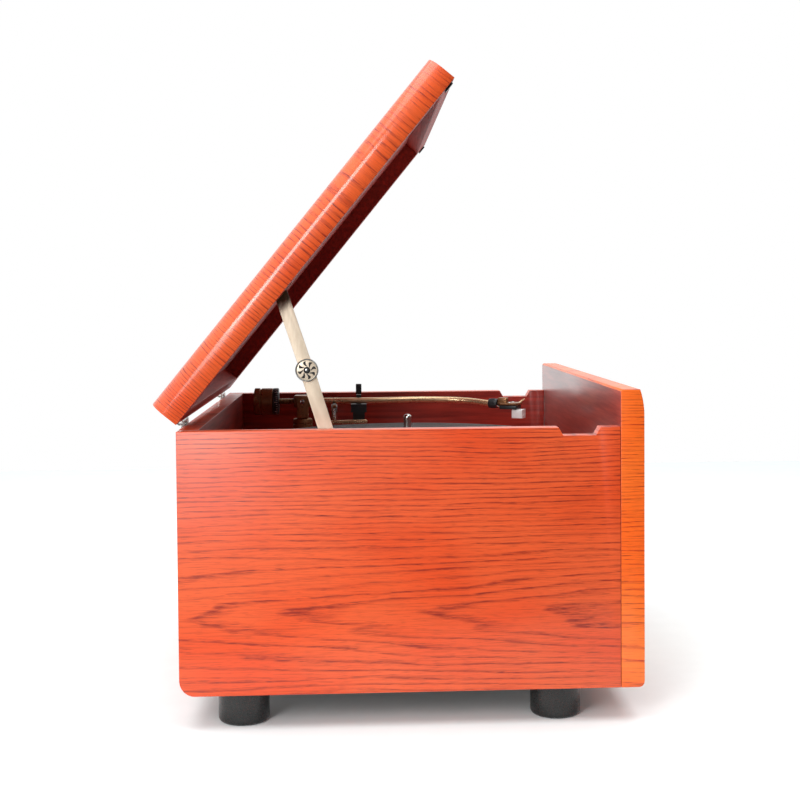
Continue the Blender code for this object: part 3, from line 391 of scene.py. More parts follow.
LOOKS = {
    "veneer": SIDE_OAK,
    "dark_wood": STAIN_ALONG_X,
    "raw_board": raw_board("fibreboard"),
    "rubber": plastic("black_rubber", srgb(20, 20, 20), srgb(32, 32, 31), 0.28, 0.00004),
    "grille_cloth": woven_cloth("brown_weave", srgb(92, 70, 46), srgb(150, 122, 82)),
    "black_plastic": plastic("black_plastic", srgb(20, 24, 27), srgb(38, 44, 47), 0.38),
    "brass": metal("pale_brass", srgb(206, 170, 130), srgb(232, 200, 160), 0.28, (60.0, 60.0, 60.0), 0.75),
    "bronze": metal("antique_bronze", srgb(120, 82, 52), srgb(160, 116, 78), 0.32, metallic=0.6),
    "steel": metal("bright_steel", srgb(190, 190, 186), srgb(222, 222, 218), 0.24),
    "zinc": metal("warm_zinc", srgb(216, 198, 174), srgb(234, 218, 196), 0.42, (60.0, 300.0, 60.0), 0.35),
    "dial_glass": clear_glass("dial_glass"),
    "dial_paper": dial_paper("dial_paper"),
    "white_plastic": plastic("white_plastic", srgb(232, 232, 230), srgb(248, 248, 246), 0.3, 0.00004),
    "circuit": circuit_board("circuit_board_green"),
}
MAT = mat_rubber("mat_rubber")
# the stay's upper link: plating with painted shade round its upper end
UPPER_LINK = worn_zinc("worn_zinc", srgb(216, 198, 174), srgb(234, 218, 196), STAY_HIGH)
# near black: painted shade in screw slots, and the black of the stay disc's slots and centre and of the platter's
# rim dots
BLACK_AND_PAINTED_HOLE_SHADE = plastic("black_and_painted_hole_shade", srgb(8, 8, 9), srgb(16, 16, 17), 0.6)
RED = plastic("red_insulator", srgb(150, 20, 16), srgb(176, 30, 22), 0.35)
INK = plastic("printed_ink", srgb(40, 30, 24), srgb(60, 46, 36), 0.7)


# ---- mesh helpers ---------------------------------------------------------------------------------
def spun(profile, steps=48, ring=False, flutes=0, depth=0.0, band=(0.0, 0.0)):
    """A mesh turned round Z from (radius, height) points. Flutes ripple the radius between two heights."""
    shape = bmesh.new()
    points = [shape.verts.new((radius, 0, height)) for radius, height in profile]
    edges = [shape.edges.new(pair) for pair in zip(points, points[1:])]
    if ring:
        edges.append(shape.edges.new((points[-1], points[0])))
    bmesh.ops.spin(shape, geom=points + edges, axis=(0, 0, 1), cent=(0, 0, 0), angle=2 * pi, steps=steps)
    bmesh.ops.remove_doubles(shape, verts=shape.verts, dist=0.000001)
    for vert in shape.verts:
        if flutes and band[0] < vert.co.z < band[1]:
            ripple = 1 + depth * cos(flutes * atan2(vert.co.y, vert.co.x)) / max(vert.co.xy.length, 0.0001)
            vert.co.x *= ripple
            vert.co.y *= ripple
    return finished(shape)


def finished(shape):
    bmesh.ops.recalc_face_normals(shape, faces=shape.faces)
    mesh = bpy.data.meshes.new("made")
    shape.to_mesh(mesh)
    shape.free()
    return mesh


def disc(radius, low, high, edge=0.0003, steps=32):
    """A short cylinder along Z with rounded rims."""
    profile = [(0, high), (radius - edge, high), (radius - 0.3 * edge, high - 0.3 * edge),
               (radius, high - edge)]
    profile += [(radius, low + edge), (radius - 0.3 * edge, low + 0.3 * edge), (radius - edge, low),
                (0, low)]
    return spun(profile, steps)


def block(low, high, edge=0.0005, segments=3):
    """A box between two corners with rounded edges."""
    shape = bmesh.new()
    bmesh.ops.create_cube(shape, size=1.0)
    size = [high[i] - low[i] for i in range(3)]
    bmesh.ops.scale(shape, vec=size, verts=shape.verts)
    bmesh.ops.translate(shape, vec=[(high[i] + low[i]) / 2 for i in range(3)], verts=shape.verts)
    bmesh.ops.bevel(shape, geom=shape.edges[:], offset=edge, segments=segments, profile=0.5, affect="EDGES")
    return finished(shape)


def curve_mesh(curve):
    """The mesh of a curve, with its caps welded."""
    holder = bpy.data.objects.new("curve", curve)
    bpy.context.scene.collection.objects.link(holder)
    bpy.context.view_layer.update()
    mesh = bpy.data.meshes.new_from_object(holder.evaluated_get(bpy.context.evaluated_depsgraph_get()))
    bpy.data.objects.remove(holder)
    shape = bmesh.new()
    shape.from_mesh(mesh)
    bmesh.ops.remove_doubles(shape, verts=shape.verts, dist=0.000002)
    return finished(shape)


def slab(loops, thickness, edge=0.0002):
    """A flat piece in XY with rounded edges: the first loop is its outline, and the others are holes."""
    curve = bpy.data.curves.new("outline", "CURVE")
    curve.dimensions = "2D"
    curve.fill_mode = "BOTH"
    curve.extrude = thickness / 2 - edge
    curve.bevel_depth = edge
    curve.bevel_resolution = 2
    curve.offset = -edge
    for loop in loops:
        spline = curve.splines.new("POLY")
        spline.points.add(len(loop) - 1)
        for point, (x, y) in zip(spline.points, loop):
            point.co = (x, y, 0, 1)
        spline.use_cyclic_u = True
    return curve_mesh(curve)


def wire(points, radius, resolution=4):
    """A round wire or tube on a smooth curve through points."""
    curve = bpy.data.curves.new("wire", "CURVE")
    curve.dimensions = "3D"
    curve.bevel_depth = radius
    curve.bevel_resolution = resolution
    curve.resolution_u = 10
    curve.use_fill_caps = True
    spline = curve.splines.new("BEZIER")
    spline.bezier_points.add(len(points) - 1)
    for knot, point in zip(spline.bezier_points, points):
        knot.co = point
        knot.handle_left_type = "AUTO"
        knot.handle_right_type = "AUTO"
    return curve_mesh(curve)


def arc(centre, radius, start, end, steps=12):
    points = []
    for step in range(steps + 1):
        angle = radians(start + (end - start) * step / steps)
        points.append((centre[0] + radius * cos(angle), centre[1] + radius * sin(angle)))
    return points


def circle(centre, radius, steps=32):
    return arc(centre, radius, 0, 360, steps)[:-1]


def bar_outline(start, end, radius, steps=12):
    """A bar with round ends between two points."""
    angle = atan2(end[1] - start[1], end[0] - start[0]) * 180 / pi
    far_end = arc(end, radius, angle - 90, angle + 90, steps)
    return far_end + arc(start, radius, angle + 90, angle + 270, steps)


def rounded(low, high, radius, steps=6):
    """A rectangle with round corners."""
    left, right = low[0] + radius, high[0] - radius
    bottom, top = low[1] + radius, high[1] - radius
    points = arc((right, top), radius, 0, 90, steps) + arc((left, top), radius, 90, 180, steps)
    points += arc((left, bottom), radius, 180, 270, steps)
    return points + arc((right, bottom), radius, 270, 360, steps)


TO_FRONT = Matrix.Rotation(pi / 2, 4, "X")     # turned shapes' tops face -Y
TO_REAR = Matrix.Rotation(-pi / 2, 4, "X")
TO_LEFT = Matrix.Rotation(-pi / 2, 4, "Y")     # tops face -X
TO_RIGHT = Matrix.Rotation(pi / 2, 4, "Y")     # tops face +X
IN_PLACE = Matrix.Identity(4)                  # modelled where it belongs
IN_YZ = Matrix(((0, 0, 1, 0), (1, 0, 0, 0), (0, 1, 0, 0), (0, 0, 0, 1)))   # XY outlines stand in YZ
IN_XZ = Matrix(((1, 0, 0, 0), (0, 0, -1, 0), (0, 1, 0, 0), (0, 0, 0, 1)))


def at(x, y, z, turn=IN_PLACE):
    return Matrix.Translation((x, y, z)) @ turn


def piece(name, body, parts, replaces=(), smooth=35.0):
    """Joins (mesh, material, matrix) parts into one piece that rides on a body."""
    shape = bmesh.new()
    mesh = bpy.data.meshes.new(name)
    for part, look, matrix in parts:
        if look.name not in mesh.materials:
            mesh.materials.append(look)
        index = mesh.materials.find(look.name)
        first = len(shape.faces)
        part.transform(matrix)
        shape.from_mesh(part)
        shape.faces.ensure_lookup_table()
        for face in shape.faces[first:]:
            face.material_index = index
        bpy.data.meshes.remove(part)
    shape.to_mesh(mesh)
    shape.free()
    mesh.shade_smooth()
    mesh.set_sharp_from_angle(angle=radians(smooth))
    obj = bpy.data.objects.new(name, mesh)
    bpy.context.scene.collection.objects.link(obj)
    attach(obj, body)
    if replaces:
        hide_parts(*replaces)
    return obj


# ---- the CAD nodes that stay ----------------------------------------------------------------------
def weld_and_round(node, width):
    """Joins the node's split faces, rounds its edges slightly and shades it smooth between them."""
    normals = node.data.attributes.get("custom_normal")
    if normals:
        node.data.attributes.remove(normals)
    node.data.shade_smooth()
    weld = node.modifiers.new("weld", "WELD")
    weld.merge_threshold = 0.00001
    if width:
        bevel = node.modifiers.new("edges", "BEVEL")
        bevel.width = width
        bevel.segments = 3
        bevel.limit_method = "ANGLE"
        bevel.angle_limit = radians(50)
    split = node.modifiers.new("split", "EDGE_SPLIT")
    split.split_angle = radians(38)


def paint(node, look, inner=None, is_inner=None):
    """Gives a node its material, and the faces that is_inner picks another."""
    node.data.materials.clear()
    node.data.materials.append(look)
    if inner is None:
        return
    node.data.materials.append(inner)
    for face in node.data.polygons:
        face.material_index = 1 if is_inner(face) else 0


def inside_lid(face):
    """Faces of the recess under the lid, and the rim's lower faces."""
    if face.normal.dot(LID_UP) < -0.9:
        return True
    offset = face.center - HINGE
    depth = offset.dot(LID_UP)
    length = offset.dot(LID_ALONG)
    return depth < 0.0146 and 0.0170 < length < 0.3225 and abs(face.center.x) < HALF - 0.0135


def dress_nodes():
    """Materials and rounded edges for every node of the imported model."""
    widths = {"veneer": 0.0007, "dark_wood": 0.0004, "steel": 0.0002, "brass": 0.0002, "raw_board": 0.0005}
    for name, node in frame["nodes"].items():
        paint(node, LOOKS[SLOT_OF[name]])
        weld_and_round(node, widths.get(SLOT_OF[name], 0.0))
    nodes = frame["nodes"]
    for name, side in (("side_panel_left", -1), ("side_panel_right", 1)):
        paint(nodes[name], SIDE_OAK, STAIN_ALONG_Y, lambda face, side=side: face.normal.x * side < -0.9)
    paint(nodes["rear_panel"], REAR_OAK, STAIN_ALONG_X, lambda face: face.normal.y < -0.9)
    paint(nodes["front_panel"], FRONT_OAK, FRONT_INSIDE, lambda face: face.normal.y > 0.9)
    paint(nodes["bottom_panel"], DARK_BOARD)
    paint(nodes["lid"], LID_OAK, LID_INSIDE, inside_lid)


# ---- stage, lights and camera ---------------------------------------------------------------------
def make_camera():
    """A long lens to the left of the case, level with the open lid's middle."""
    yaw, dip, roll = radians(-3.128276), radians(2.044962), radians(-0.389964)
    forward = Vector((cos(yaw) * cos(dip), sin(yaw) * cos(dip), -sin(dip)))
    level = forward.cross(Vector((0, 0, 1))).normalized()
    upright = level.cross(forward)
    right = cos(roll) * level + sin(roll) * upright
    up = cos(roll) * upright - sin(roll) * level
    data = bpy.data.cameras.new("camera")
    data.lens = 61.563
    data.sensor_width = 36.0
    data.shift_x = -0.03886
    data.shift_y = -0.06303
    camera = bpy.data.objects.new("camera", data)
    camera.matrix_world = Matrix((right, up, -forward)).transposed().to_4x4()
    camera.location = (-1.24556, REAR - 0.135015, 0.322722)
    bpy.context.scene.collection.objects.link(camera)
    bpy.context.scene.camera = camera


def make_light(name, place, target, size, power, roll=0.0):
    data = bpy.data.lights.new(name, "AREA")
    data.shape = "RECTANGLE"
    data.size, data.size_y = size
    data.energy = power
    light = bpy.data.objects.new(name, data)
    light.location = place
    aim = (Vector(target) - Vector(place)).to_track_quat("-Z", "Y").to_matrix()
    light.rotation_euler = (aim @ Matrix.Rotation(roll, 3, "Z")).to_euler()
    bpy.context.scene.collection.objects.link(light)


def make_world():
    """A white backdrop all round the object that darkens towards the camera's side of the room."""
    world = bpy.data.worlds.new("studio")
    bpy.context.scene.world = world
    world.use_nodes = True
    nodes, links = world.node_tree.nodes, world.node_tree.links
    direction = nodes.new("ShaderNodeTexCoord").outputs["Generated"]
    side = nodes.new("ShaderNodeVectorMath")
    side.operation = "DOT_PRODUCT"
    links.new(direction, side.inputs[0])
    side.inputs[1].default_value = (1.0, 0.75, 0.35)
    shade = nodes.new("ShaderNodeMapRange")
    shade.interpolation_type = "SMOOTHSTEP"
    shade.inputs["From Min"].default_value = -0.85
    shade.inputs["From Max"].default_value = 0.25
    shade.inputs["To Min"].default_value = 0.10
    shade.inputs["To Max"].default_value = 1.0
    links.new(side.outputs["Value"], shade.inputs["Value"])
    background = nodes["Background"]
    background.inputs["Color"].default_value = (1, 1, 1, 1)
    links.new(shade.outputs["Result"], background.inputs["Strength"])


def make_stage():
    """A white table top, a large soft box overhead, one beside the camera and a strip along the lid."""
    shape = bmesh.new()
    bmesh.ops.create_grid(shape, x_segments=1, y_segments=1, size=0.92)
    bmesh.ops.translate(shape, verts=shape.verts, vec=(0.92 - 0.42, 0, 0))
    floor = bpy.data.objects.new("floor", finished(shape))
    look = Look("white_floor", roughness=0.9, specular=0.1)
    grain = look.noise((40.0, 40.0, 40.0), None, 3.0)
    look.colour(look.ramp(grain, ((0.3, (0.84, 0.885, 0.89)), (0.7, (0.86, 0.905, 0.91)))))
    look.shader.inputs["Emission Color"].default_value = (1, 1, 1, 1)
    look.shader.inputs["Emission Strength"].default_value = 0.04
    floor.data.materials.append(look.material)
    bpy.context.scene.collection.objects.link(floor)
    make_light("beside_camera", (-1.25, 0.60, 0.36), (0, 0.05, 0.25), (0.40, 0.40), 2.4)
    make_light("along_lid", (-1.25, 0.45, 0.69), (-0.2, 0.1, 0.35), (0.30, 0.70), 7.0, LID_OPEN - pi / 2)
    make_light("overhead", (-0.35, 0.0, 2.0), (0, 0, 0), (2.2, 2.2), 36.0)
    scene = bpy.context.scene
    scene.view_settings.view_transform = "Standard"
    scene.view_settings.look = "None"


# ---- feet ------------------------------------------------------------------------------------------
def screw_head(radius, height=0.0009):
    """A domed screw head along Z with a crossed slot: (mesh, material) pairs."""
    dome = [(0, height), (radius * 0.5, height * 0.92), (radius * 0.85, height * 0.6),
            (radius, height * 0.15)]
    dome += [(radius, 0), (0, 0)]
    arm = radius * 0.62
    top = height * 1.03
    low, high = (-arm, -radius * 0.13, height * 0.4), (arm, radius * 0.13, top)
    turned_low, turned_high = (low[1], low[0], low[2]), (high[1], high[0], high[2])
    return [
        (spun(dome, 24), LOOKS["steel"]),
        # the crossed slot is a raised near-black cross: painted shade for the recess
        (block(low, high, 0.00005, 1), BLACK_AND_PAINTED_HOLE_SHADE),
        (block(turned_low, turned_high, 0.00005, 1), BLACK_AND_PAINTED_HOLE_SHADE),
    ]


def placed(pairs, matrix):
    return [(mesh, look, matrix) for mesh, look in pairs]


def make_feet():
    """Turned rubber feet with a soft shoulder and a screw deep in the middle."""
    for name in ("foot_rear_left", "foot_rear_right", "foot_front_left", "foot_front_right"):
        low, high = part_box(name)
        x, y = (low.x + high.x) / 2, (low.y + high.y) / 2
        radius, top = (high.x - low.x) / 2, high.z
        well, deep = 0.0038, 0.016
        profile = [(radius - 0.0008, top), (radius, top - 0.0008)]
        shoulder = arc((radius - 0.0036, 0.0036), 0.0036, 0, -90, 8)
        profile += shoulder + [(well + 0.0005, 0), (well, 0.0005), (well, deep), (0.0024, deep),
                               (0.0024, top)]
        parts = [(spun(profile, 72, ring=True), LOOKS["rubber"], at(x, y, 0))]
        parts += placed(screw_head(0.0034), at(x, y, deep, Matrix.Rotation(pi, 4, "X")))
        piece(f"turned_{name}", "case", parts, [name])


# ---- the stay --------------------------------------------------------------------------------------
def stay_plane(x):
    """Turns an XY outline into the YZ plane at a given X."""
    return Matrix.Translation((x, 0, 0)) @ IN_YZ


def rivet(x, y, z, radius, direction=-1):
    """A domed rivet head whose top faces -X, or +X."""
    profile = [(0, 0.0011), (radius * 0.5, 0.0010), (radius * 0.85, 0.0006), (radius, 0), (radius, -0.0004),
               (0, -0.0004)]
    turn = TO_LEFT if direction < 0 else TO_RIGHT
    return (spun(profile, 24), LOOKS["steel"], at(x, y, z, turn))


def make_stay():
    """The stay's two stamped links and the friction disc with its eight curved slots on the elbow."""
    zinc, steel = LOOKS["zinc"], LOOKS["steel"]
    link_x = STAY_LOW.x
    low_pivot, elbow, high_pivot = (STAY_LOW.y, STAY_LOW.z), (ELBOW.y, ELBOW.z), (STAY_HIGH.y, STAY_HIGH.z)
    thickness, bore = 0.0014, 0.0024
    loops = [bar_outline(low_pivot, elbow, 0.0056), circle(low_pivot, bore)]
    parts = [(slab(loops, thickness), zinc, stay_plane(link_x))]
    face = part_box("stay_lower_link")[0].x + 0.0006
    turn = at(face, ELBOW.y, ELBOW.z, TO_LEFT)
    parts.append((disc(0.0088, -0.0022, 0.0, 0.0003, 48), zinc, turn))
    rim = [(0.0088, 0.0002), (0.0086, 0.0006), (0.0078, 0.0006), (0.0076, 0.0002), (0.0076, -0.0004),
           (0.0088, -0.0004)]
    parts.append((spun(rim, 48, ring=True), steel, turn))
    for step in range(8):
        spin = turn @ Matrix.Rotation(step * pi / 4, 4, "Z")
        shares = (0, 0.25, 0.5, 0.75, 1)
        swirl = [(0.0030 + 0.0038 * share, 0.0020 * sin(pi * share * 0.8)) for share in shares]
        width = (0.0004, 0.0008, 0.0010, 0.0009, 0.0004)
        outline = [(x, y - half) for (x, y), half in zip(swirl, width)]
        outline += [(x, y + half) for (x, y), half in reversed(list(zip(swirl, width)))]
        parts.append((slab([outline], 0.0003, 0.00005), BLACK_AND_PAINTED_HOLE_SHADE, spin @ Matrix.Translation((0, 0, 0.00005))))
    parts.append((disc(0.0026, -0.0002, 0.00055, 0.0002, 32), BLACK_AND_PAINTED_HOLE_SHADE, turn))
    parts.append((disc(0.0012, 0.0, 0.0006, 0.0002, 24), steel, turn))
    washer = slab([circle(low_pivot, 0.0038), circle(low_pivot, bore)], 0.0003, 0.0001)
    parts.append((washer, steel, stay_plane(link_x - 0.0008)))
    piece("stay_lower_link_stamped", "stay_lower", parts, ["stay_lower_link"])
    loops = [bar_outline(elbow, high_pivot, 0.0052), circle(high_pivot, bore)]
    parts = [(slab(loops, thickness), UPPER_LINK, stay_plane(STAY_HIGH.x))]
    piece("stay_upper_link_stamped", "stay_upper", parts, ["stay_upper_link"])
    rivet_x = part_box("stay_upper_link")[0].x - 0.0003
    piece("stay_upper_rivet", "lid", [rivet(rivet_x, *high_pivot, 0.0036)])
    piece("stay_lower_rivet", "case", [rivet(rivet_x + 0.0022, *low_pivot, 0.0032, 1)])


# ---- platter ---------------------------------------------------------------------------------------
def make_platter():
    """The cast platter with its dotted rim, the ribbed mat and the round-tipped spindle."""
    centre = at(SPINDLE.x, SPINDLE.y, 0)
    low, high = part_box("platter")
    radius, top, under = (high.x - low.x) / 2, high.z, low.z
    web, hub = top - 0.006, 0.062
    bore = 0.0038
    profile = arc((radius - 0.002, top - 0.002), 0.002, 90, 0, 6)
    profile += [(radius, top - 0.0045), (radius - 0.0008, top - 0.0050)]
    profile += [(radius - 0.0008, top - 0.0105), (radius, top - 0.0110), (radius, under + 0.0005),
                (radius - 0.0005, under)]
    profile += [(radius - 0.005, under), (radius - 0.005, web), (hub, web), (hub, under),
                (hub - 0.004, under)]
    profile += [(hub - 0.004, web), (bore, web), (bore, top)]
    parts = [(spun(profile, 128, ring=True), LOOKS["steel"], centre)]
    dots = 90
    for step in range(dots):
        turn = centre @ Matrix.Rotation(2 * pi * step / dots, 4, "Z")
        dot_low, dot_high = (radius - 0.0012, -0.0022, top - 0.0092), (radius - 0.0003, 0.0022, top - 0.0063)
        parts.append((block(dot_low, dot_high, 0.0002, 1), BLACK_AND_PAINTED_HOLE_SHADE, turn))
    piece("platter_cast", "platter", parts, ["platter"])
    low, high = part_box("platter_mat")
    top, under = high.z, low.z
    outer, label = 0.1362, 0.051
    profile = [(outer - 0.0006, top)]
    ribs = 17
    for rib in range(ribs):
        at_radius = outer - 0.004 - rib * (outer - label - 0.006) / ribs
        profile += [(at_radius, top), (at_radius - 0.0006, top - 0.0008), (at_radius - 0.0016, top - 0.0008),
                    (at_radius - 0.0022, top)]
    profile += [(label, top), (label - 0.0006, top - 0.0010), (bore + 0.004, top - 0.0010),
                (bore, top - 0.0012), (bore, under)]
    profile += [(outer, under), (outer + 0.0002, (top + under) / 2)]
    piece("platter_mat_ribbed", "platter", [(spun(profile, 128, ring=True), MAT, centre)],
          ["platter_mat"])
    low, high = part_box("spindle")
    radius, top = (high.x - low.x) / 2, high.z
    profile = [(0, top)] + arc((0.0006, top - 0.0029), 0.0029, 80, 0, 8)
    profile += [(radius, top - 0.0034), (radius, low.z), (0, low.z)]
    piece("spindle_polished", "platter", [(spun(profile, 40), LOOKS["steel"], centre)], ["spindle"])


# ---- the tonearm -----------------------------------------------------------------------------------
def make_arm_tube():
    """The S-shaped tube with a collar where it enters the bearing block."""
    knots = ((0, 0.0088, 0), (0, 0.075, 0), (0.004, 0.130, 0), (-0.001, 0.165, -0.0010))
    points = [ARM + Vector((x, -ahead, z)) for x, ahead, z in knots] + [HEAD]
    sleeve = [(0.0040, 0.0012), (0.0040, 0.0060), (0.0034, 0.0068), (0.0030, 0.0068), (0.0030, 0.0012)]
    parts = [(wire(points, 0.0030, resolution=8), LOOKS["brass"], IN_PLACE)]
    parts.append((spun(sleeve[::-1], 32, ring=True), LOOKS["bronze"],
                  at(ARM.x, ARM.y - 0.0085, ARM.z, TO_FRONT)))
    piece("arm_tube_polished", "tonearm", parts, ["arm_tube"], 50.0)


def make_arm_bearing():
    """The base, the yoke with its side screws, and the bearing block with the weight's threaded stub."""
    bronze, steel = LOOKS["bronze"], LOOKS["steel"]
    base_low, base_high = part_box("arm_base")
    place = at(ARM.x, ARM.y, 0)
    top, floor = base_high.z, base_low.z
    profile = [(0, top), (0.0088, top), (0.0096, top - 0.0006), (0.010, top - 0.0016), (0.010, top - 0.0045)]
    profile += [(0.0095, top - 0.0049), (0.0095, top - 0.0056), (0.010, top - 0.0060), (0.010, 0.1912),
                (0.0108, 0.1896)]
    profile += [(0.0135, 0.1886), (0.0185, 0.1874), (0.0196, 0.1862), (0.020, 0.1845), (0.020, floor),
                (0, floor)]
    piece("arm_base_turned", "case", [(spun(profile, 64), bronze, place)], ["arm_base"])
    low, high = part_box("arm_yoke")
    outer, inner, ledge = 0.0100, 0.0073, 0.0030
    rise = high.z - low.z
    outline = [(outer, 0.0008), (outer, rise - 0.003)]
    outline += arc((outer - 0.00135, rise - 0.00135), 0.00135, 0, 180, 8)
    outline += [(inner, ledge + 0.002)] + arc((inner - 0.002, ledge + 0.002), 0.002, 0, -90, 5)
    left = [(-x, z) for x, z in reversed(outline)]
    yoke = slab([[(-outer + 0.0008, 0), (outer - 0.0008, 0)] + outline + left], high.y - low.y, 0.0004)
    parts = [(yoke, bronze, at(ARM.x, (low.y + high.y) / 2, low.z, IN_XZ))]
    for side in (-1, 1):
        turn = Matrix.Rotation(side * pi / 2, 4, "Y")
        parts.append((disc(0.0024, -0.002, 0.0007, 0.0002, 24), steel,
                      at(ARM.x + side * outer, ARM.y, ARM.z, turn)))
        # the side screw's slot: a raised near-black bar, painted shade for the recess
        parts.append((block((-0.0018, -0.0003, 0.0004), (0.0018, 0.0003, 0.00075), 0.00005, 1), BLACK_AND_PAINTED_HOLE_SHADE,
                      at(ARM.x + side * outer, ARM.y, ARM.z, turn)))
    piece("arm_yoke_shaped", "arm_yoke", parts, ["arm_yoke"])
    corner = Vector((0.0065, 0.0085, 0.006))
    parts = [(block(ARM - corner, ARM + corner, 0.0012, 4), bronze, IN_PLACE)]
    thread = [(0, 0.042), (0.0024, 0.042)]
    for turn_count in range(22):
        height = 0.0415 - turn_count * 0.0015
        thread += [(0.0030, height), (0.0026, height - 0.00075)]
    thread += [(0.0030, 0.0080), (0.0030, 0.0070), (0, 0.0070)]
    parts.append((spun(thread, 24), bronze, at(*ARM, TO_REAR)))
    piece("arm_block_shaped", "tonearm", parts, ["arm_block"])


def make_counterweight():
    """The stepped counterweight with a knurled rear rim, and the marked dial ring in front of it."""
    low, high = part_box("counterweight")
    rear, front = high.y - ARM.y, low.y - ARM.y
    radius, bore = (high.x - low.x) / 2, 0.0034
    profile = [(0, rear), (radius - 0.0030, rear), (radius - 0.0024, rear - 0.0006),
               (radius - 0.0006, rear - 0.0006)]
    profile += [(radius - 0.0001, rear - 0.0012), (radius - 0.0001, rear - 0.0035),
                (radius - 0.0001, rear - 0.0060)]
    profile += [(radius - 0.0008, rear - 0.0066), (radius - 0.0008, rear - 0.0074), (radius, rear - 0.0080)]
    profile += [(radius, front + 0.0004), (radius - 0.0004, front), (bore, front), (bore, rear - 0.005),
                (0, rear - 0.005)]
    body = spun(profile, 144, flutes=48, depth=0.00018, band=(rear - 0.0062, rear - 0.0010))
    piece("counterweight_knurled", "counterweight", [(body, LOOKS["bronze"], at(*ARM, TO_REAR))],
          ["counterweight"])
    low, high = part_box("weight_dial")
    front, back = low.y - ARM.y, high.y - ARM.y
    ring = [(radius, back - 0.0002), (radius, front + 0.0006), (radius - 0.0006, front), (bore, front),
            (bore, back - 0.0002)]
    parts = [(spun(ring, 72, ring=True), LOOKS["black_plastic"], at(*ARM, TO_REAR))]
    for step in range(40):
        length = 0.0030 if step % 5 == 0 else 0.0016
        tick = block((radius - 0.0004, -0.00016, front + 0.0009),
                     (radius + 0.00006, 0.00016, front + 0.0009 + length), 0.00003, 1)
        turn = at(*ARM, TO_REAR) @ Matrix.Rotation(2 * pi * step / 40, 4, "Z")
        parts.append((tick, LOOKS["white_plastic"], turn))
    piece("weight_dial_marked", "counterweight", parts, ["weight_dial"])


def make_head():
    """The collar, the headshell with its finger lift, the cartridge with stylus and leads, and the guard."""
    turn = Matrix.Translation(HEAD) @ Matrix.Rotation(-HEAD_TURN, 4, "Z")
    bronze, black, brass = LOOKS["bronze"], LOOKS["black_plastic"], LOOKS["brass"]
    ring = [(0.0046, 0.0005), (0.0048, 0.0009), (0.0048, 0.0035), (0.0048, 0.0060), (0.0048, 0.0088),
            (0.0044, 0.0095)]
    ring += [(0.0022, 0.0095), (0.0022, 0.0005)]
    collar = spun(ring[::-1], 96, ring=True, flutes=24, depth=0.0002, band=(0.0030, 0.0070))
    piece("headshell_collar_knurled", "collar", [(collar, black, turn @ TO_FRONT)],
          ["headshell_collar"])
    outline = [(-0.0035, -0.0100), (-0.0090, -0.0150), (-0.0090, -0.0315), (-0.0075, -0.0330)]
    outline += [(0.0075, -0.0330), (0.0090, -0.0315), (0.0090, -0.0150), (0.0035, -0.0100)]
    holes = [circle((side * 0.0052, -0.0240), 0.0009, 16) for side in (-1, 1)]
    plate = slab([outline] + holes, 0.0022, 0.0005)
    parts = [(plate, bronze, turn @ at(0, 0, 0.0001))]
    parts.append((block((-0.0034, -0.0200, 0.0006), (0.0034, -0.0102, 0.0060), 0.0012, 4), bronze, turn))
    parts.append((wire([(0.0085, -0.0280, 0.0003), (0.0110, -0.0290, 0.0006), (0.0135, -0.0310, 0.0022),
                        (0.0140, -0.0335, 0.0042)],
                       0.0008, resolution=5), brass, turn))
    for side in (-1, 1):
        parts += placed(screw_head(0.0014, 0.0008), turn @ at(side * 0.0052, -0.0240, 0.0012))
    piece("headshell_cast", "tonearm", parts, ["headshell"])
    parts = [(block((-0.0075, -0.0320, -0.0052), (0.0075, -0.0135, -0.0013), 0.0006), black, turn)]
    for number, look in enumerate((RED, LOOKS["white_plastic"], LOOKS["circuit"], INK)):
        x = -0.0045 + number * 0.003
        parts.append((disc(0.0006, 0.0, 0.0016, 0.0001, 12), brass, turn @ at(x, -0.0135, -0.0032, TO_REAR)))
        lead = [(x, -0.0121, -0.0032), (x * 0.9, -0.0095, -0.0024), (x * 0.5, -0.0070, -0.0008),
                (x * 0.3, -0.0050, -0.0004)]
        parts.append((wire(lead, 0.0003, resolution=3), look, turn))
    parts.append((wire([(0, -0.0300, -0.0050), (0, -0.0315, -0.0075), (0, -0.0325, -0.0095)], 0.0003),
                  LOOKS["steel"], turn))
    piece("cartridge_moulded", "tonearm", parts, ["cartridge"])
    side_outline = [(-0.0372, -0.0142), (-0.0262, -0.0142), (-0.0262, -0.0062), (-0.0270, -0.0055),
                    (-0.0372, -0.0055)]
    shell = slab([side_outline], 0.012, 0.0006)
    parts = [(shell, LOOKS["white_plastic"], turn @ IN_YZ)]
    parts.append((block((-0.0040, -0.0376, -0.0120), (0.0040, -0.0368, -0.0112), 0.0002, 2),
                  LOOKS["white_plastic"], turn))
    piece("stylus_guard_moulded", "tonearm", parts, ["stylus_guard"])


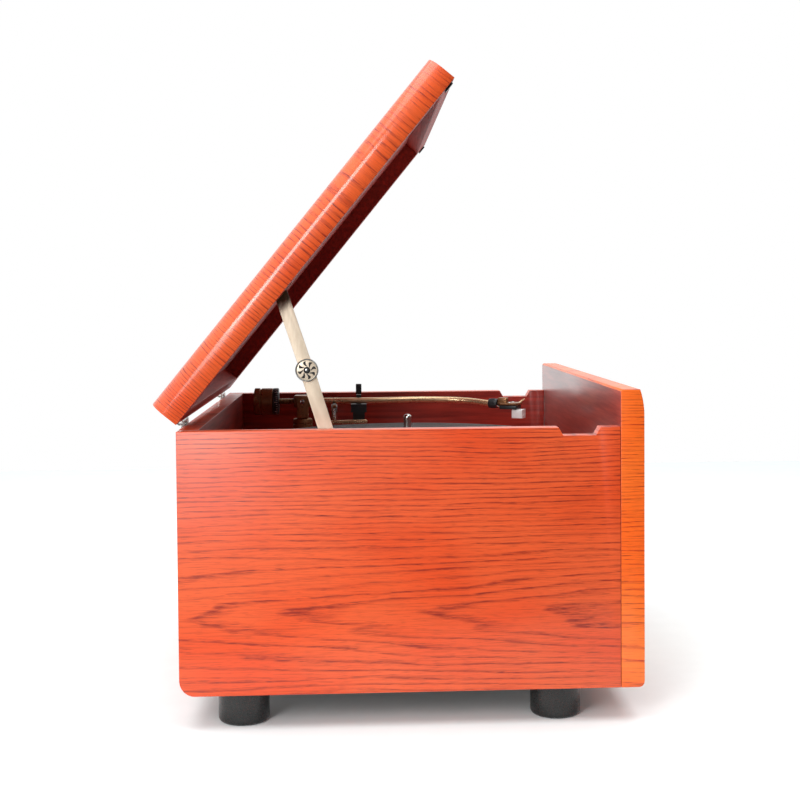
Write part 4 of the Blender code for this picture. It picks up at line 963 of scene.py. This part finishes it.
def make_arm_rest():
    """The moulded latch, the turned anti-skate knob, and the cue lever and lift."""
    black, bronze, brass = LOOKS["black_plastic"], LOOKS["bronze"], LOOKS["brass"]
    latch = PIVOT["arm_latch_hinge"]
    outline = bar_outline((0, 0), (0, 0.0065), 0.0021, 8)
    parts = [(slab([outline], 0.0058, 0.0005), black, at(latch.x, latch.y, latch.z, IN_XZ))]
    parts.append((disc(0.0011, -0.0030, 0.0030, 0.0002, 20), LOOKS["steel"], at(*latch, TO_FRONT)))
    piece("arm_latch_moulded", "arm_latch", parts, ["arm_latch"])
    low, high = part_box("anti_skate_knob")
    x, y = (low.x + high.x) / 2, (low.y + high.y) / 2
    top, floor = high.z, low.z
    profile = [(0, top), (0.0038, top), (0.0046, top - 0.0004), (0.0050, top - 0.0012),
               (0.0050, top - 0.0040)]
    profile += [(0.0050, top - 0.0072), (0.0044, top - 0.0080), (0.0028, top - 0.0084), (0.0028, floor),
                (0, floor)]
    knob = spun(profile, 96, flutes=24, depth=0.00018, band=(top - 0.0070, top - 0.0020))
    mark = block((-0.0003, 0.0006, top - 0.0002), (0.0003, 0.0040, top + 0.0001), 0.00005, 1)
    parts = [(knob, bronze, at(x, y, 0)), (mark, LOOKS["white_plastic"], at(x, y, 0))]
    piece("anti_skate_knob_knurled", "anti_skate", parts, ["anti_skate_knob"])
    cue = PIVOT["cue_lever_hinge"]
    outline = bar_outline((0, 0), (-0.0405, 0.0008), 0.0021, 10)
    parts = [(slab([outline], 0.0038, 0.0008), brass, Matrix.Translation(cue) @ IN_YZ)]
    parts.append((disc(0.0016, -0.0026, 0.0026, 0.0003, 24), LOOKS["steel"], at(*cue, TO_RIGHT)))
    piece("cue_lever_polished", "cue_lever", parts, ["cue_lever"])
    low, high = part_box("cue_lift")
    bar_y = (low.y + high.y) / 2
    bar = block((low.x, bar_y - 0.002, high.z - 0.003), (high.x, bar_y + 0.002, high.z), 0.0008, 4)
    pad = block((low.x + 0.003, bar_y - 0.0017, high.z - 0.0004),
                (high.x - 0.006, bar_y + 0.0017, high.z + 0.0001), 0.0002, 2)
    post_x = ARM.x + 0.008
    post = disc(0.003, low.z, high.z - 0.001, 0.0003, 32)
    parts = [(bar, bronze, IN_PLACE), (pad, LOOKS["rubber"], IN_PLACE)]
    parts.append((post, LOOKS["steel"], at(post_x, bar_y, 0)))
    piece("cue_lift_shaped", "cue_lift", parts, ["cue_lift"])


# ---- the front -------------------------------------------------------------------------------------
def make_knobs():
    """Fluted bronze knobs with a bright face and a pointer line."""
    for name, body in (("volume_knob", "volume"), ("function_knob", "function"), ("tuning_knob", "tuning")):
        low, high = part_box(name)
        x, z = (low.x + high.x) / 2, (low.z + high.z) / 2
        reach = FRONT - low.y
        skirt = (high.x - low.x) / 2
        profile = [(0, reach - 0.0008), (0.0070, reach - 0.0008), (0.0076, reach), (0.0092, reach),
                   (0.0104, reach - 0.0008)]
        profile += [(0.0110, reach - 0.0020), (0.0115, reach - 0.0060), (0.0122, 0.0046), (0.0126, 0.0036),
                    (skirt - 0.0004, 0.0032)]
        profile += [(skirt, 0.0026), (skirt, 0.0008), (0.003, 0.0008), (0.003, FRONT - high.y),
                    (0, FRONT - high.y)]
        knob = spun(profile, 144, flutes=36, depth=0.00025, band=(0.0044, reach - 0.0015))
        line = block((-0.0004, 0.0020, reach - 0.0010), (0.0004, 0.0068, reach - 0.0006), 0.0001, 1)
        face = disc(0.0068, reach - 0.0012, reach - 0.0007, 0.0002, 48)
        parts = [(knob, LOOKS["bronze"], at(x, FRONT, z, TO_FRONT)),
                 (face, LOOKS["brass"], at(x, FRONT, z, TO_FRONT))]
        parts.append((line, INK, at(x, FRONT, z, TO_FRONT)))
        piece(f"{name}_fluted", body, parts, [name])


def text_mesh(text, size, thickness):
    """Raised figures, centred on the origin in XY."""
    font = bpy.data.curves.new("figures", "FONT")
    font.body = text
    font.size = size
    font.extrude = thickness / 2
    font.align_x = "CENTER"
    font.align_y = "CENTER"
    font.resolution_u = 4
    return curve_mesh(font)


def make_dial():
    """The scale's printed lines, ticks and figures, and ticks round each knob on the control plate."""
    low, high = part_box("dial_scale")
    middle = (low.z + high.z) / 2
    face = low.y
    half = high.x - 0.009
    parts = []
    for offset in (-0.0045, 0.0045):
        line = block((-half, -0.0001, -0.00012), (half, 0.0001, 0.00012), 0.00003, 1)
        parts.append((line, INK, at(0, face, middle + offset)))
    steps = 40
    for step in range(steps + 1):
        x = -half + 2 * half * step / steps
        height = 0.0028 if step % 5 == 0 else 0.0014
        for offset in (-0.0045, 0.0045):
            sign = 1 if offset > 0 else -1
            ends = sorted((0, -sign * height))
            parts.append((block((-0.0001, -0.0001, ends[0]), (0.0001, 0.0001, ends[1]), 0.00003, 1), INK,
                          at(x, face, middle + offset)))
    for number in range(9):
        x = -half + 2 * half * number / 8
        parts.append((text_mesh(str(number * 10 + 20), 0.0042, 0.0002), INK,
                      at(x, face, middle + 0.0078, IN_XZ)))
        parts.append((text_mesh(str(number), 0.0042, 0.0002), RED, at(x, face, middle - 0.0078, IN_XZ)))
    piece("dial_marks", "case", parts)
    parts = []
    plate_low, plate_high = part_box("control_plate")
    for name in ("volume_knob", "function_knob", "tuning_knob"):
        knob_low, knob_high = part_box(name)
        x, z = (knob_low.x + knob_high.x) / 2, (knob_low.z + knob_high.z) / 2
        count = 3 if name == "function_knob" else 11
        span = radians(60 if name == "function_knob" else 150)
        for step in range(count):
            angle = -span + 2 * span * step / (count - 1)
            tick = block((-0.0003, 0.0160, -0.0001), (0.0003, 0.0185, 0.0002), 0.0001, 1)
            parts.append((tick, INK, at(x, PLATE_FACE, z, TO_FRONT @ Matrix.Rotation(-angle, 4, "Z"))))
    for x in (plate_low.x + 0.006, plate_high.x - 0.006):
        for z in (plate_low.z + 0.006, plate_high.z - 0.006):
            parts += placed(screw_head(0.0022, 0.0009), at(x, PLATE_FACE, z, TO_FRONT))
    piece("control_plate_details", "case", parts)


def make_grille_cloths():
    """Cloth stretched over the speaker openings behind each frame, slightly drawn in at the middle."""
    for name in ("left", "right"):
        low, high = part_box(f"grille_cloth_{name}")
        width, height = high.x - low.x, high.z - low.z
        shape = bmesh.new()
        bmesh.ops.create_grid(shape, x_segments=24, y_segments=32, size=0.5)
        for vert in shape.verts:
            inward = 0.0012 * (1 - (2 * vert.co.x) ** 2) * (1 - (2 * vert.co.y) ** 2)
            vert.co = ((low.x + high.x) / 2 + vert.co.x * width, low.y + 0.0002 + inward,
                       (low.z + high.z) / 2 + vert.co.y * height)
        mesh = finished(shape)
        cloth = piece(f"grille_weave_{name}", "case",
                      [(mesh, LOOKS["grille_cloth"], IN_PLACE)],
                      [f"grille_cloth_{name}"])


# ---- the back --------------------------------------------------------------------------------------
def make_hinge_screws():
    """Three countersunk screws in each hinge leaf."""
    for side in ("left", "right"):
        for leaf, body, up, spin in (("case", "case", -1, 0.0), ("lid", "lid", 1, -LID_OPEN)):
            low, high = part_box(f"hinge_case_leaf_{side}")
            x = (low.x + high.x) / 2
            parts = []
            for number, across in enumerate((-0.011, 0.0, 0.011)):
                height = 0.0145 if number == 1 else 0.0085
                offset = Vector((0, 0.0016 - 0.003 + 0.0003 - (0.0005 if leaf == "lid" else 0), up * height))
                place = HINGE + Matrix.Rotation(spin, 3, "X") @ offset
                turn = Matrix.Rotation(spin, 4, "X") @ TO_REAR
                parts += placed(screw_head(0.0021, 0.0007), at(x + across, place.y, place.z, turn))
            piece(f"hinge_{leaf}_screws_{side}", body, parts)


def make_sockets():
    """Rings, insulators and pins in the rear sockets, and screws at their corners."""
    low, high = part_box("phono_sockets")
    middle = Vector(((low.x + high.x) / 2, 0, (low.z + high.z) / 2))
    parts = []
    for offset, look in ((-0.014, RED), (0.014, LOOKS["white_plastic"])):
        place = at(middle.x + offset, REAR, middle.z, TO_REAR)
        top = high.y - REAR
        ring = [(0.0045, top + 0.0004), (0.0052, top), (0.0056, top - 0.0008), (0.0056, top - 0.0040),
                (0.0042, top - 0.0040), (0.0042, top)]
        parts.append((spun(ring, 48, ring=True), LOOKS["brass"], place))
        sleeve = [(0.0040, top + 0.0001), (0.0041, top - 0.0004), (0.0041, top - 0.003),
                  (0.0023, top - 0.003), (0.0023, top)]
        parts.append((spun(sleeve, 40, ring=True), look, place))
    for x in (middle.x - 0.024, middle.x + 0.024):
        parts += placed(screw_head(0.0024, 0.0009), at(x, REAR + 0.001, middle.z, TO_REAR))
    piece("phono_socket_rings", "case", parts)
    low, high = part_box("mains_inlet")
    x, z = (low.x + high.x) / 2, (low.z + high.z) / 2
    outline = rounded((-0.0135, -0.0085), (0.0135, 0.0085), 0.003)
    mouth = rounded((-0.0110, -0.0060), (0.0110, 0.0060), 0.0012)
    parts = [(slab([outline, mouth], 0.0014, 0.0003), LOOKS["black_plastic"],
              at(x, high.y + 0.0002, z, IN_XZ))]
    for side in (-1, 1):
        parts += placed(screw_head(0.0022, 0.0009), at(x + side * 0.0168, high.y, z, TO_REAR))
    piece("mains_inlet_rim", "case", parts)


def make_brackets():
    """Two screws on the stay's case bracket."""
    low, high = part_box("stay_case_bracket")
    parts = []
    for z in (low.z + 0.003, high.z - 0.003):
        parts += placed(screw_head(0.0016, 0.0007), at(low.x + 0.0016, (low.y + high.y) / 2, z, TO_RIGHT))
    piece("stay_case_screws", "case", parts)


make_camera()
make_world()
make_stage()
dress_nodes()
make_feet()
make_stay()
make_platter()
make_arm_tube()
make_arm_bearing()
make_counterweight()
make_head()
make_arm_rest()
make_knobs()
make_dial()
make_grille_cloths()
make_hinge_screws()
make_sockets()
make_brackets()
